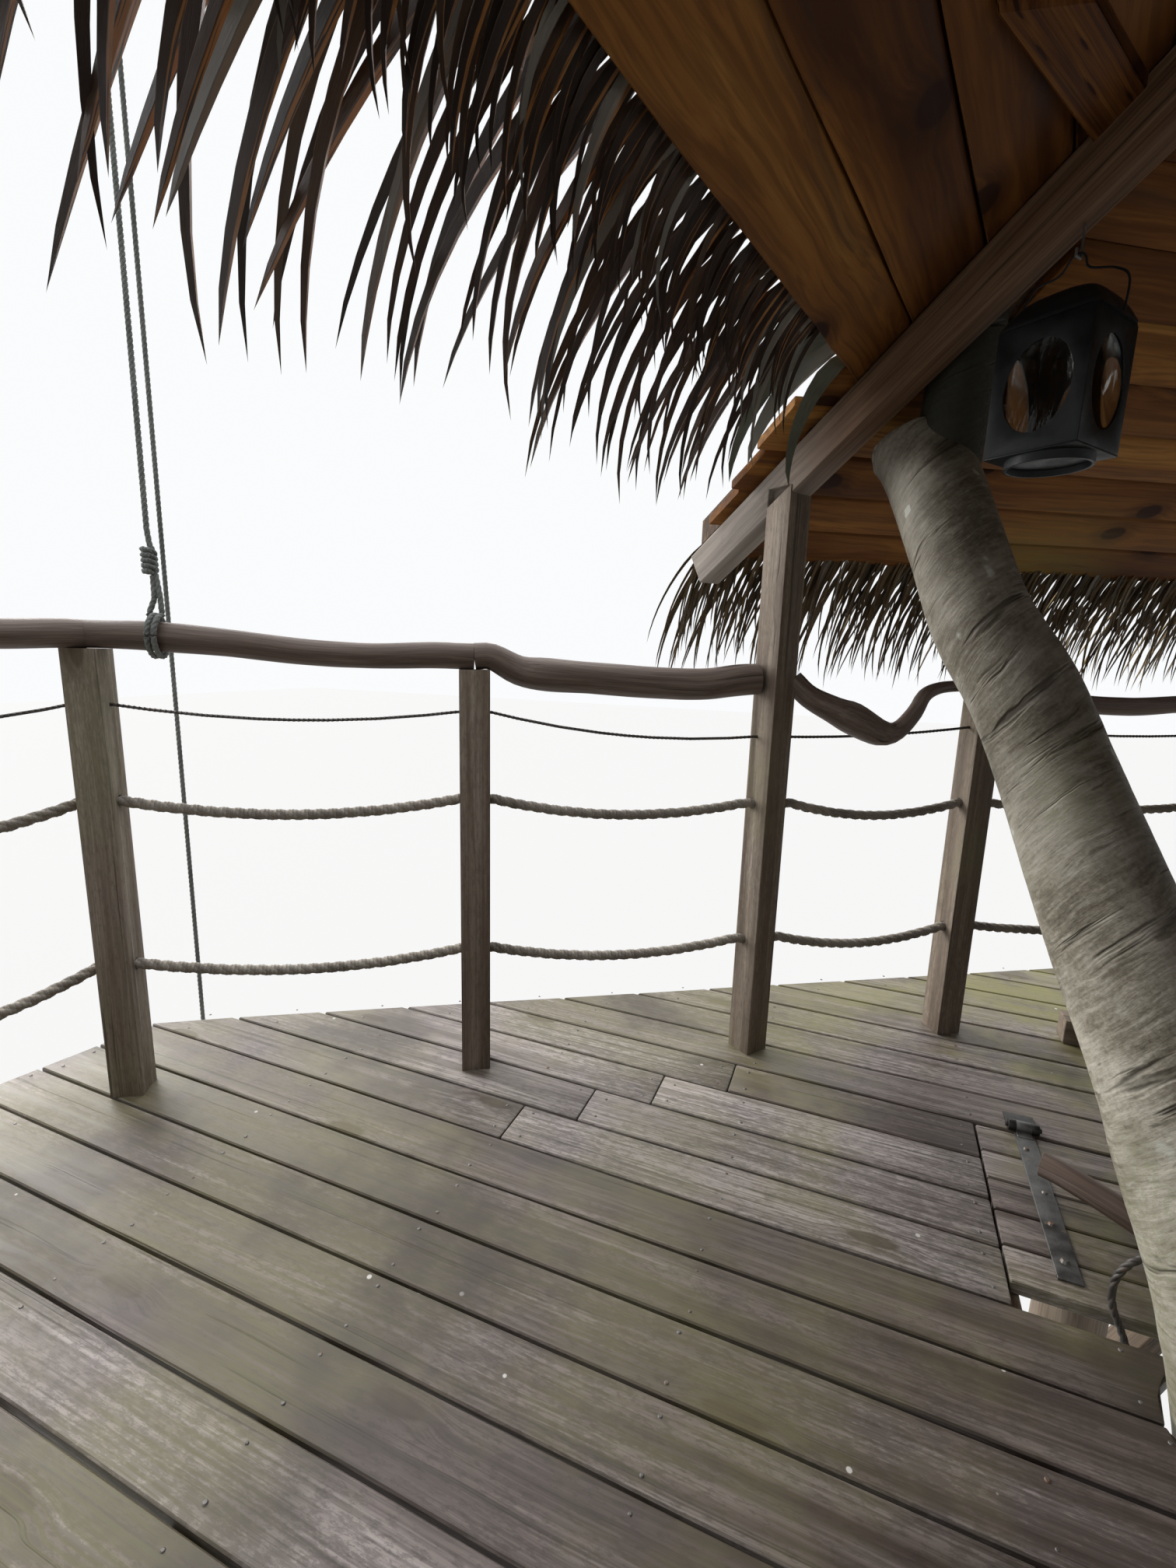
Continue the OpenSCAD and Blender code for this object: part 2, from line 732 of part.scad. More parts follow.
module roof_slab(inner, outer, lift, rise) {
    inner_half = half_width(inner);
    outer_half = half_width(outer);
    outline = [[-inner_half, inner], [inner_half, inner], [outer_half, outer], [-outer_half, outer]];
    polyhedron(
        points = concat(
            [for (p = outline) [p[0], p[1], ceiling_under(p[1]) + lift]],
            [for (p = outline) [p[0], p[1], ceiling_under(p[1]) + lift + rise]]
        ),
        faces = [[0, 1, 2, 3], [7, 6, 5, 4], [0, 4, 5, 1], [1, 5, 6, 2], [2, 6, 7, 3], [3, 7, 4, 0]]
    );
}

// Side k faces house_turn - 90 + k * side_turn: side 0 is the far one
module to_side(k) {
    in_house() rotate([0, 0, -180 + k * side_turn]) children();
}

module limb_hole() {
    hole = 0.7 * trunk_d + 2 * trunk_gap;
    low = spot(limb_path[2]);
    way = unit(spot(limb_path[4]) - low);
    on_deck()
        translate(low) rotate([0, acos(way[2]), atan2(way[1], way[0])])
            translate([0, 0, -big / 40]) cylinder(d = hole, h = big / 8);
}

module ceiling_panel(k) {
    to_side(k) roof_slab(ceiling_in, ceiling_edge(k), 0, ceiling_rise);
}

module thatch_panel(k) {
    to_side(k) roof_slab(thatch_in, thatch_edge, ceiling_rise + fit, thatch_rise);
}

module ceiling_left() {
    color("chocolate") ceiling_panel(1);
}

module ceiling_far() {
    color("chocolate")
        difference() {
            ceiling_panel(0);
            limb_hole();
        }
}

module ceiling_rest() {
    color("chocolate")
        for (k = [2:side_count - 1]) ceiling_panel(k);
}

module thatch_left() {
    color("darkgoldenrod") thatch_panel(1);
}

module thatch_far() {
    color("darkgoldenrod")
        difference() {
            thatch_panel(0);
            limb_hole();
        }
}

module thatch_rest() {
    color("darkgoldenrod")
        for (k = [2:side_count - 1]) thatch_panel(k);
}

module thatch_cap() {
    cap_reach = 320;
    cap_rise = 150;
    inner = cap_reach / cos(half_turn);
    base = ceiling_under(0) + ceiling_rise + thatch_rise + 2 * fit;
    corners = [for (k = [0:side_count - 1]) let (turn = half_turn + k * side_turn)
        [inner * cos(turn), inner * sin(turn)]];
    color("saddlebrown")
        in_house()
            polyhedron(
                points = concat(
                    [for (p = corners) [p[0], p[1], base - plane_slope * cap_reach]],
                    [for (p = corners) [p[0], p[1], base - plane_slope * cap_reach + cap_rise / 2]],
                    [[0, 0, base], [0, 0, base + cap_rise]]
                ),
                faces = concat(
                    [for (k = [0:side_count - 1]) let (n = (k + 1) % side_count) [2 * side_count, k, n]],
                    [for (k = [0:side_count - 1]) let (n = (k + 1) % side_count)
                        [k, side_count + k, side_count + n, n]],
                    [for (k = [0:side_count - 1]) let (n = (k + 1) % side_count)
                        [2 * side_count + 1, side_count + n, side_count + k]]
                )
            );
}

// Leaf tips hanging from the thatch's edge, of uneven length
function tip_l(n) = fringe_l * (0.78 + 0.22 * sin(97 * n) * cos(31 * n));
function root_l(n) = fringe_l * (0.44 + 0.06 * sin(73 * n + 20));
fringe_parts = 4;

module fringe_side() {
    width = 2 * half_width(thatch_edge) / fringe_parts;
    count = floor(width / fringe_pitch);
    step = (width - hip_gap) / count;
    top = ceiling_under(thatch_edge) + ceiling_rise + thatch_rise;
    for (part = [0:fringe_parts - 1])
        translate([(part - fringe_parts / 2) * width + hip_gap / 2, thatch_edge + fringe_t, top])
            rotate([90, 0, 0])
                linear_extrude(fringe_t)
                    polygon(concat(
                        [[count * step, 0], [0, 0], [0, -root_l(count * part)]],
                        [for (n = [0:count - 1]) let (leaf = count * part + n) each [
                            [(n + 0.5) * step, -tip_l(leaf)], [(n + 1) * step, -root_l(leaf + 1)]
                        ]]
                    ));
}

module leaf_fringe() {
    color("peru")
        for (k = [0:side_count - 1])
            to_side(k) fringe_side();
}

module rail_posts() {
    color("rosybrown")
        in_house()
            for (i = [0:station_count - 1]) if (!on_roof_post(i))
                difference() {
                    translate(station_at(i) - [post_side / 2, post_side / 2, 0])
                        cube([post_side, post_side, post_top(i)]);
                    rope_bores(i);
                }
}

module handrail_corner() {
    color("saddlebrown") branch(0);
}

module handrail_left() {
    color("saddlebrown") branch(1);
}

module handrail_middle() {
    color("saddlebrown") branch(2);
}

module handrail_crook() {
    color("saddlebrown") branch(3);
}

module handrail_right() {
    color("saddlebrown") branch(4);
}

module handrail_rest() {
    color("saddlebrown")
        for (i = [5:station_count - 1]) branch(i);
}

module upper_rope() {
    color("silver") in_house() sweep_loop(rail_line(upper_rope_h, rope_trim, rope_d, rope_sag));
}

module lower_rope() {
    color("silver") in_house() sweep_loop(rail_line(lower_rope_h, [], rope_d, rope_sag));
}

module rail_cable() {
    color("dimgray") in_house() sweep_loop(rail_line(cable_h, cable_trim, cable_d, cable_sag));
}

// Lantern: hangs by its bail from a hook in the corner rafter and swings along it
lantern_turn = house_turn - 90 + half_turn;
hook_d = 5;
hook_half = 9;
pivot_z = rafter_under(lantern_r) - hook_drop;
bail_top = pivot_z + hook_d / 2 + fit + bail_d / 2;
lantern_dome_top = pivot_z - 62;
lantern_box_top = lantern_dome_top - lantern_dome_h;
lantern_bottom = lantern_box_top - lantern_box_h;
pane_t = 3;
window_share = 0.36;
window_h_share = 0.36;
panel_gap = 0.2;

module at_lantern() {
    on_deck() rotate([0, 0, lantern_turn]) translate([lantern_r, 0, 0]) children();
}

module window_shape() {
    polygon([for (turn = [0:15:345])
        [window_share * lantern_side * cos(turn), window_h_share * lantern_box_h * sin(turn)]]);
}

module lantern_sides() {
    half = lantern_side / 2;
    inset = half - lantern_wall;
    color("black")
        at_lantern()
            translate([0, 0, lantern_bottom])
                for (turn = [0:90:270])
                    rotate([0, 0, turn])
                        difference() {
                            linear_extrude(lantern_box_h)
                                polygon([
                                    [inset, -inset + panel_gap], [half, -half + panel_gap],
                                    [half, half - panel_gap], [inset, inset - panel_gap]
                                ]);
                            translate([0, 0, lantern_box_h / 2])
                                rotate([90, 0, 90]) linear_extrude(lantern_side) window_shape();
                        }
}

module lantern_glass() {
    pane_half = window_share * lantern_side + 6;
    pane_z = window_h_share * lantern_box_h + 8;
    color("lightblue")
        at_lantern()
            translate([0, 0, lantern_bottom + lantern_box_h / 2])
                for (turn = [0:90:270])
                    rotate([0, 0, turn])
                        translate([lantern_side / 2 - lantern_wall - pane_t, -pane_half, -pane_z])
                            cube([pane_t, 2 * pane_half, 2 * pane_z]);
}

module lantern_top() {
    lip = 5;
    half = lantern_side / 2 + lip;
    levels = [
        [half, 0], [half, 6], [0.86 * half, 0.46 * lantern_dome_h], [0.62 * half, 0.78 * lantern_dome_h],
        [0.34 * half, 0.95 * lantern_dome_h], [0.12 * half, lantern_dome_h]
    ];
    corners = [[1, 1], [-1, 1], [-1, -1], [1, -1]];
    color("black")
        at_lantern()
            translate([0, 0, lantern_box_top])
                polyhedron(
                    points = [for (level = levels, corner = corners)
                        [level[0] * corner[0], level[0] * corner[1], level[1]]],
                    faces = concat(
                        [[0, 1, 2, 3]],
                        [for (n = [0:len(levels) - 2], k = [0:3]) let (m = (k + 1) % 4)
                            [4 * n + k, 4 * n + 4 + k, 4 * n + 4 + m, 4 * n + m]],
                        [[for (k = [3:-1:0]) 4 * (len(levels) - 1) + k]]
                    )
                );
}

module lantern_base() {
    half = lantern_side / 2;
    ring_h = 16;
    color("black")
        at_lantern()
            translate([0, 0, lantern_bottom - lantern_wall]) {
                translate([-half, -half, 0]) cube([lantern_side, lantern_side, lantern_wall]);
                translate([0, 0, -ring_h])
                    difference() {
                        cylinder(d = lantern_ring_d, h = ring_h);
                        translate([0, 0, -1])
                            cylinder(d = lantern_ring_d - 4 * lantern_wall, h = ring_h - lantern_wall);
                    }
            }
}

module lantern_bail() {
    half = lantern_side / 2 + 5;
    foot = lantern_box_top + 3;
    gap = bail_d / 2 + fit;
    color("black")
        at_lantern()
            sweep([
                [half + gap, 0, foot, bail_d], [half + gap, 0, bail_top - 70, bail_d],
                [0.82 * half, 0, bail_top - 36, bail_d], [0.7 * half, 0, bail_top - 30, bail_d],
                [0.32 * half, 0, bail_top - 26, bail_d], [0.14 * half, 0, bail_top - 6, bail_d],
                [0.06 * half, 0, bail_top, bail_d], [-0.06 * half, 0, bail_top, bail_d],
                [-0.16 * half, 0, bail_top - 10, bail_d], [-0.26 * half, 0, bail_top - 30, bail_d],
                [-0.76 * half, 0, bail_top - 48, bail_d], [-half - gap, 0, bail_top - 72, bail_d],
                [-half - gap, 0, foot, bail_d]
            ], 8, [0, 1, 0]);
}

module lantern_hook() {
    color("dimgray")
        at_lantern() {
            translate([0, hook_half, pivot_z]) rotate([90, 0, 0]) cylinder(d = hook_d, h = 2 * hook_half);
            for (y = [-hook_half, hook_half]) translate([0, y, pivot_z]) sphere(d = hook_d);
            translate([0, -hook_half, pivot_z])
                cylinder(d = hook_d, h = rafter_under(lantern_r + hook_d / 2) - pivot_z - fit);
            translate([0, hook_half, pivot_z]) cylinder(d = hook_d, h = 12);
        }
}

// Hoist rope: over the limb, one line drawn in to a loop on the handrail, the other straight down
// outside the deck
hoist_share = 0.17;
hoist_gap = 60;
hoist_clear = 70;
hoist_shift = 148;
hoist_on_rail = station_at(1) + hoist_share * (station_at(2) - station_at(1));
function to_world(p) = [
    p[0] * cos(house_turn) - p[1] * sin(house_turn),
    p[0] * sin(house_turn) + p[1] * cos(house_turn),
    0
];
hoist_at = to_world(hoist_on_rail);
hoist_over = to_world([hoist_on_rail[0] + hoist_shift, -deck_half_width - hoist_clear, 0]);
hoist_along = unit(hoist_over - flat(limb_start));
hoist_across = [hoist_along[1], -hoist_along[0], 0];
limb_reach = norm(hoist_over - flat(limb_start));
hoist_limb_path = [for (p = limb_bends)
    [each limb_start + p[0] * limb_reach * hoist_along + [0, 0, p[1]] + p[2] * hoist_across, p[3] * limb_d]];
hoist_top = limb_start[2] + 630;
hoist_way = atan2(hoist_along[1], hoist_along[0]);

module hoist_line() {
    rail_z = post_top(1) + fit + handrail_d * branch_drop;
    loop_r = 1.04 * handrail_d / 2 + 6 + hoist_d / 2;
    knot_l = 55;
    low = hoist_at + [0, 0, rail_z + loop_r];
    high = hoist_over - hoist_gap / 2 * hoist_across + [0, 0, hoist_top - 3];
    way = unit(high - low);
    color("silver")
        on_deck() {
            translate(hoist_at + [0, 0, rail_z])
                rotate([0, 0, house_turn]) rotate([0, 90, 0])
                    rotate_extrude() translate([loop_r, 0]) circle(d = hoist_d, $fn = 16);
            sweep([[each low, hoist_d], [each high, hoist_d]], 16, [0, 1, 0]);
            sweep([
                [each low + 60 * way, 2.6 * hoist_d], [each low + (60 + knot_l) * way, 2.6 * hoist_d]
            ], 16, [0, 1, 0]);
        }
}

module hoist_tail() {
    color("silver")
        on_deck()
            translate(hoist_over)
                rotate([0, 0, hoist_way]) {
                    translate([0, -hoist_gap / 2, hoist_end_h - deck_height])
                        cylinder(d = hoist_d, h = hoist_top + deck_height - hoist_end_h, $fn = 16);
                    translate([0, 0, hoist_top])
                        rotate([0, -90, 0]) rotate([0, 0, -90])
                            rotate_extrude(angle = 180)
                                translate([hoist_gap / 2, 0]) circle(d = hoist_d, $fn = 16);
                }
}

module wire_rope_loop() {
    color("dimgray")
        on_deck()
            translate(flat(trunk_above[0]))
                sweep([
                    [146, -158, -60, 14], [164, -159, -10, 14], [182, -160, 30, 14], [190, -162, 65, 14],
                    [186, -165, 100, 14], [170, -169, 130, 14], [146, -176, 146, 14]
                ], 8, [0, 1, 0]);
}

module tie_block() {
    color("tan")
        on_deck()
            translate([hatch_x + 194, hatch_y - 636, 0]) cube([100, 80, 80]);
}

trunk();
hoist_limb();
support_legs();
main_beams();
knee_braces();
joists();
hatch_trimmers();
deck_far();
deck_near();
deck_left();
deck_right();
hatch_lid();
hatch_cleats();
hatch_straps();
hinge_leaves();
hinge_pins();
hatch_grip();
roof_posts();
hip_rafters();
roof_hub();
ceiling_left();
ceiling_far();
ceiling_rest();
thatch_left();
thatch_far();
thatch_rest();
thatch_cap();
leaf_fringe();
rail_posts();
handrail_corner();
handrail_left();
handrail_middle();
handrail_crook();
handrail_right();
handrail_rest();
upper_rope();
lower_rope();
rail_cable();
lantern_sides();
lantern_glass();
lantern_top();
lantern_base();
lantern_bail();
lantern_hook();
hoist_line();
hoist_tail();
wire_rope_loop();
tie_block();
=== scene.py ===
import math
import random

import bmesh
import bpy
import numpy as np
from mathutils import Matrix, Vector, noise


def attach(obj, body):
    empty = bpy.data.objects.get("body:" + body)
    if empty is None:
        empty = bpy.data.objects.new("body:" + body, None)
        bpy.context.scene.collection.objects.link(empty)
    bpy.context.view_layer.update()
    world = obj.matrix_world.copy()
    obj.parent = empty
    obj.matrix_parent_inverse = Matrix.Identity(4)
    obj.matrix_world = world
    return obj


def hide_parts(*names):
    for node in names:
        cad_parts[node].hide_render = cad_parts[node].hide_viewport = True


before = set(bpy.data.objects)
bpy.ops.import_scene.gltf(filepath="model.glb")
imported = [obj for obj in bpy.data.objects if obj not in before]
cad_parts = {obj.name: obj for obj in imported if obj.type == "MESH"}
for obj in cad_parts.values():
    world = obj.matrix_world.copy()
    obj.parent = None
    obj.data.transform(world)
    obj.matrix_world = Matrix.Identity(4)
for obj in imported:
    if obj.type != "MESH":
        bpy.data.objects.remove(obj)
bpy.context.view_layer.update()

deckTop = 3.6                      # metres above the ground
houseTurn = math.radians(32)       # the house stands turned on its boards
sideTurn = math.radians(45)
halfTurn = sideTurn / 2
slim = 0.97                        # keeps logs and branches, with their lumps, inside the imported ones
random.seed(7)

# The rail and roof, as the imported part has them
rail = {"x": 3.15, "y": 2.33, "cornerX": 0.435, "cornerY": 0.5, "bay": 0.92, "middle": 0.265,
        "postSide": 0.08, "postTop": 1.15, "seatGap": 0.0003, "branch": 0.07, "butt": 0.012,
        "buttGap": 0.0006, "meetGap": 0.0015, "flatPast": 0.006}
branchDrop = math.cos(math.radians(18)) / 2    # a branch lies on one of ten flats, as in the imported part
roof = {"ring": 2.5, "eave": 1.6, "pitch": math.radians(33.2), "rafterWidth": 0.076, "rafterDepth": 0.095,
        "boards": 0.022}
planeSlope = math.tan(roof["pitch"])
hipSlope = planeSlope * math.cos(halfTurn)
apothem = roof["ring"] * math.cos(halfTurn)


def say(stage):
    print("stage:", stage)


def houseToWorld(x, y, z=0.0):
    c, s = math.cos(houseTurn), math.sin(houseTurn)
    return Vector((x * c - y * s, x * s + y * c, deckTop + z))


def rafterUnder(r):
    return roof["eave"] + hipSlope * (roof["ring"] - r)


def ceilingUnder(a):
    depth = roof["rafterDepth"] / math.cos(math.atan(hipSlope))
    backing = planeSlope * math.sin(halfTurn) * roof["rafterWidth"] / 2
    return roof["eave"] + depth + backing + 0.0003 + planeSlope * (apothem - a)


def sideAngle(k):                  # way out of roof side k; side 0 is the far one
    return houseTurn - math.pi / 2 + k * sideTurn


def onSide(k, s, a, z):            # s along the eave, a out from the middle, z above the deck
    out = Vector((math.cos(sideAngle(k)), math.sin(sideAngle(k)), 0))
    return out * a + Vector((-out.y, out.x, 0)) * s + Vector((0, 0, deckTop + z))


class Wire:                        # a node's socket; sums on it add Math nodes
    def __init__(self, sheet, socket):
        self.sheet, self.socket = sheet, socket

    def maths(self, operation, other=None, swap=False):
        pair = [self] if other is None else [other, self] if swap else [self, other]
        return self.sheet.add("ShaderNodeMath", {"operation": operation}, dict(enumerate(pair)))

    def __add__(self, other):
        return self.maths("ADD", other)

    def __sub__(self, other):
        return self.maths("SUBTRACT", other)

    def __rsub__(self, other):
        return self.maths("SUBTRACT", other, True)

    def __mul__(self, other):
        return self.maths("MULTIPLY", other)

    def __truediv__(self, other):
        return self.maths("DIVIDE", other)

    def __pow__(self, other):
        return self.maths("POWER", other)

    __radd__ = __add__
    __rmul__ = __mul__


class Sheet:                       # a node tree that is filled with add
    def __init__(self, tree):
        self.tree = tree

    def add(self, kind, settings=None, inputs=None, output=0):
        node = self.tree.nodes.new(kind)
        for name, value in (settings or {}).items():
            if name == "stops":
                self.setStops(node.color_ramp, value)
            else:
                setattr(node, name, value)
        for key, value in (inputs or {}).items():
            for one in value if isinstance(value, list) else [value]:
                self.feed(node.inputs[key], one)
        return Wire(self, node.outputs[output])

    def feed(self, socket, value):
        if isinstance(value, Wire):
            self.tree.links.new(value.socket, socket)
        else:
            socket.default_value = value

    def setStops(self, ramp, stops):
        while len(ramp.elements) > 1:
            ramp.elements.remove(ramp.elements[0])
        for n, (place, colour) in enumerate(stops):
            element = ramp.elements[0] if n == 0 else ramp.elements.new(place)
            element.position = place
            element.color = (*colour, 1)

    def split(self, vector):
        node = self.tree.nodes.new("ShaderNodeSeparateXYZ")
        self.feed(node.inputs[0], vector)
        return [Wire(self, out) for out in node.outputs]

    def join(self, x, y, z):
        return self.add("ShaderNodeCombineXYZ", {}, {0: x, 1: y, 2: z})


class Finish(Sheet):               # a material built round one Principled shader
    def __init__(self, name):
        self.material = bpy.data.materials.new(name)
        self.material.use_nodes = True
        super().__init__(self.material.node_tree)
        self.tree.nodes.clear()
        end = self.tree.nodes.new("ShaderNodeOutputMaterial")
        self.shader = self.tree.nodes.new("ShaderNodeBsdfPrincipled")
        self.tree.links.new(self.shader.outputs[0], end.inputs[0])

    def set(self, **values):
        names = {"colour": "Base Color", "rough": "Roughness", "metal": "Metallic", "normal": "Normal",
                 "specular": "Specular IOR Level", "clear": "Transmission Weight", "ior": "IOR"}
        for name, value in values.items():
            self.feed(self.shader.inputs[names[name]], value)

    def place(self):
        return self.add("ShaderNodeTexCoord", {}, {}, "Object")

    def attribute(self, name, output="Vector"):
        return self.add("ShaderNodeAttribute", {"attribute_name": name}, {}, output)

    def stretch(self, vector, x, y, z):
        return self.add("ShaderNodeVectorMath", {"operation": "MULTIPLY"}, {0: vector, 1: (x, y, z)})

    def shift(self, vector, other):
        return self.add("ShaderNodeVectorMath", {"operation": "ADD"}, {0: vector, 1: other})

    def noise(self, vector, scale, detail=3.0, rough=0.5, bend=0.0):
        return self.add("ShaderNodeTexNoise", {}, {
            "Vector": vector, "Scale": scale, "Detail": detail, "Roughness": rough, "Distortion": bend})

    def cells(self, vector, scale, dimensions="3D"):
        return self.add("ShaderNodeTexVoronoi", {"voronoi_dimensions": dimensions},
                        {"Vector": vector, "Scale": scale})

    def band(self, value, low, high, start=0.0, end=1.0):
        return self.add("ShaderNodeMapRange", {"interpolation_type": "SMOOTHSTEP"}, {
            "Value": value, "From Min": low, "From Max": high, "To Min": start, "To Max": end})

    def ramp(self, value, stops):
        return self.add("ShaderNodeValToRGB", {"stops": stops}, {0: value})

    def blend(self, factor, first, second):
        first = (*first, 1) if isinstance(first, tuple) else first
        second = (*second, 1) if isinstance(second, tuple) else second
        return self.add("ShaderNodeMix", {"data_type": "RGBA"}, {0: factor, 6: first, 7: second}, 2)

    def bump(self, height, distance, strength=1.0, under=None):
        inputs = {"Height": height, "Distance": distance, "Strength": strength}
        if under is not None:
            inputs["Normal"] = under
        return self.add("ShaderNodeBump", {}, inputs)


class Batch:                       # gathers solids for one mesh, with their grain and tone
    def __init__(self):
        self.verts, self.faces, self.grain, self.tone = [], [], [], []

    def add(self, verts, faces, grain, tone=None):
        base = len(self.verts)
        self.verts += [tuple(v) for v in verts]
        self.faces += [[base + i for i in face] for face in faces]
        self.grain += [tuple(g) for g in grain]
        self.tone += [random.random() if tone is None else tone] * len(verts)

    def build(self, name, finish, smooth=True):
        mesh = bpy.data.meshes.new(name)
        mesh.from_pydata(self.verts, [], self.faces)
        return dress(name, mesh, finish, self.grain, self.tone, smooth)


def dress(name, mesh, finish, grain=None, tone=None, smooth=True):
    mesh.materials.clear()
    mesh.materials.append(finish.material)
    if grain is not None:
        mesh.attributes.new("grain", "FLOAT_VECTOR", "POINT").data.foreach_set("vector", np.ravel(grain))
    if tone is not None:
        mesh.attributes.new("tone", "FLOAT", "POINT").data.foreach_set("value", np.ravel(tone))
    mesh.validate()
    mesh.update()
    obj = bpy.data.objects.new(name, mesh)
    bpy.context.collection.objects.link(obj)
    if smooth:
        for face in mesh.polygons:
            face.use_smooth = True
        mesh.set_sharp_from_angle(angle=math.radians(34))
    return obj


def hand(obj, body, slot, *nodes):  # rides with its body and stands for the imported nodes
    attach(obj, body)
    if nodes:
        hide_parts(*nodes)


def flatten(obj, name, finish):    # a plain mesh from an object whose modifiers are live
    graph = bpy.context.evaluated_depsgraph_get()
    mesh = bpy.data.meshes.new_from_object(obj.evaluated_get(graph))
    bpy.data.objects.remove(obj)
    return dress(name, mesh, finish)


def islands(mesh):                 # number of the solid that each vertex belongs to
    owner = np.arange(len(mesh.vertices))
    edges = np.array([e.vertices[:] for e in mesh.edges])
    while True:
        low = np.minimum(owner[edges[:, 0]], owner[edges[:, 1]])
        new = owner.copy()
        np.minimum.at(new, edges[:, 0], low)
        np.minimum.at(new, edges[:, 1], low)
        new = new[new]
        if (new == owner).all():
            return owner
        owner = new


def grainOf(mesh):                 # coordinates of each solid with its length along the third
    points = np.array([v.co[:] for v in mesh.vertices])
    owner = islands(mesh)
    grain, tone = np.zeros_like(points), np.zeros(len(points))
    for number in np.unique(owner):
        mine = owner == number
        own = points[mine] - points[mine].mean(0)
        values, axes = np.linalg.eigh(own.T @ own)
        grain[mine] = own @ axes + [random.uniform(0, 5) for axis in range(3)]
        tone[mine] = random.random()
    return grain, tone


def soften(node, finish, body, slot, width=0.003):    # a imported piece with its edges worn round
    work = bmesh.new()
    work.from_mesh(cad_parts[node].data)
    bmesh.ops.remove_doubles(work, verts=work.verts, dist=0.00005)
    bmesh.ops.dissolve_limit(work, angle_limit=math.radians(1), verts=work.verts, edges=work.edges)
    sharp = [e for e in work.edges if len(e.link_faces) == 2 and e.calc_face_angle(0) > math.radians(35)]
    bmesh.ops.bevel(work, geom=sharp, offset=width, segments=2, profile=0.5, affect="EDGES",
                    clamp_overlap=True)
    bmesh.ops.triangulate(work, faces=[f for f in work.faces if len(f.verts) > 4])
    first, *others = node.split("_")
    name = first + "".join(word.capitalize() for word in others)
    fresh = bpy.data.meshes.new(name)
    work.to_mesh(fresh)
    work.free()
    hand(dress(name, fresh, finish, *grainOf(fresh)), body, slot, node)


def curvePoints(points, step):     # a smooth line through [x, y, z, radius], a ring every step
    rows = np.array([list(p) for p in points], float)
    rows = np.vstack([2 * rows[0] - rows[1], rows, 2 * rows[-1] - rows[-2]])
    line = []
    for i in range(1, len(rows) - 2):
        a, b, c, d = rows[i - 1:i + 3]
        count = max(1, round(np.linalg.norm((c - b)[:3]) / step))
        for n in range(count):
            t = n / count
            line.append(0.5 * (2 * b + (c - a) * t + (2 * a - 5 * b + 4 * c - d) * t * t
                               + (3 * b - a - 3 * c + d) * t ** 3))
    line.append(rows[-2])
    return np.array(line)


def ringFaces(rings, sides):       # the walls between rings of vertices that follow each other
    rows = [[i * sides + k for k in range(sides)] for i in range(rings)]
    return [[low[k], low[(k + 1) % sides], high[(k + 1) % sides], high[k]]
            for low, high in zip(rows, rows[1:]) for k in range(sides)]


def tube(points, sides, step, up=(0, 0, 1), shape=None, ends=(None, None), dome=0.15):
    # a closed solid along points; shape(angle, run, total) is a factor on the radius
    line = curvePoints(points, step)
    run = np.concatenate([[0], np.cumsum(np.linalg.norm(np.diff(line[:, :3], axis=0), axis=1))])
    verts, grain, up = [], [], Vector(up)
    for i, row in enumerate(line):
        ahead, behind = line[min(i + 1, len(line) - 1)], line[max(i - 1, 0)]
        along = Vector(ahead[:3] - behind[:3]).normalized()
        if i == 0 and ends[0] is not None:
            along = Vector(ends[0]).normalized()
        if i == len(line) - 1 and ends[1] is not None:
            along = Vector(ends[1]).normalized()
        side = up.cross(along).normalized()
        over = along.cross(side)
        centre = Vector(row[:3])
        for k in range(sides):
            angle = 2 * math.pi * k / sides
            r = row[3] * (shape(angle, run[i], run[-1]) if shape else 1)
            verts.append(centre + side * (r * math.cos(angle)) + over * (r * math.sin(angle)))
            grain.append((row[3] * math.cos(angle), row[3] * math.sin(angle), run[i]))
    faces = ringFaces(len(line), sides)
    for row, way in ((0, -1), (len(line) - 1, 1)):    # closed with two inner rings and a middle point
        centre = Vector(line[row][:3])
        rim = [row * sides + k for k in range(sides)]
        out = (Vector(line[min(row + 1, len(line) - 1)][:3])
               - Vector(line[max(row - 1, 0)][:3])).normalized() * way
        for share, lift in ((0.9, 0.35 * dome), (0.5, 0.8 * dome)):    # shares of the radius
            inner = []
            for k in range(sides):
                inner.append(len(verts))
                edge = verts[row * sides + k]
                verts.append(centre + (edge - centre) * share + out * (lift * line[row][3]))
                grain.append(tuple(np.array(grain[row * sides + k]) * (share, share, 1)))
            for k in range(sides):
                face = [rim[k], rim[(k + 1) % sides], inner[(k + 1) % sides], inner[k]]
                faces.append(face if way > 0 else face[::-1])
            rim = inner
        verts.append(centre + out * (dome * line[row][3]))
        grain.append((0, 0, run[row]))
        for k in range(sides):
            face = [rim[k], rim[(k + 1) % sides], len(verts) - 1]
            faces.append(face if way > 0 else face[::-1])
    return verts, faces, grain


def handTubes(name, finish, body, slot, tubes, *nodes):
    batch = Batch()
    for solid in tubes:
        batch.add(*solid)
    hand(batch.build(name, finish), body, slot, *nodes)


def crooked(amount, length, seed):  # radius factor of a branch: lumps, long flutes and small dents
    def shape(angle, run, total):
        x, y = math.cos(angle), math.sin(angle)
        lump = noise.noise(Vector((x * 0.9, y * 0.9, run / length + seed)))
        flute = noise.noise(Vector((x * 3.2, y * 3.2, run / length * 0.35 + seed * 3)))
        dent = noise.noise(Vector((x * 5, y * 5, run / length * 2.5 + seed * 5)))
        return 1 + amount * (lump + 0.55 * flute + 0.25 * dent)
    return shape


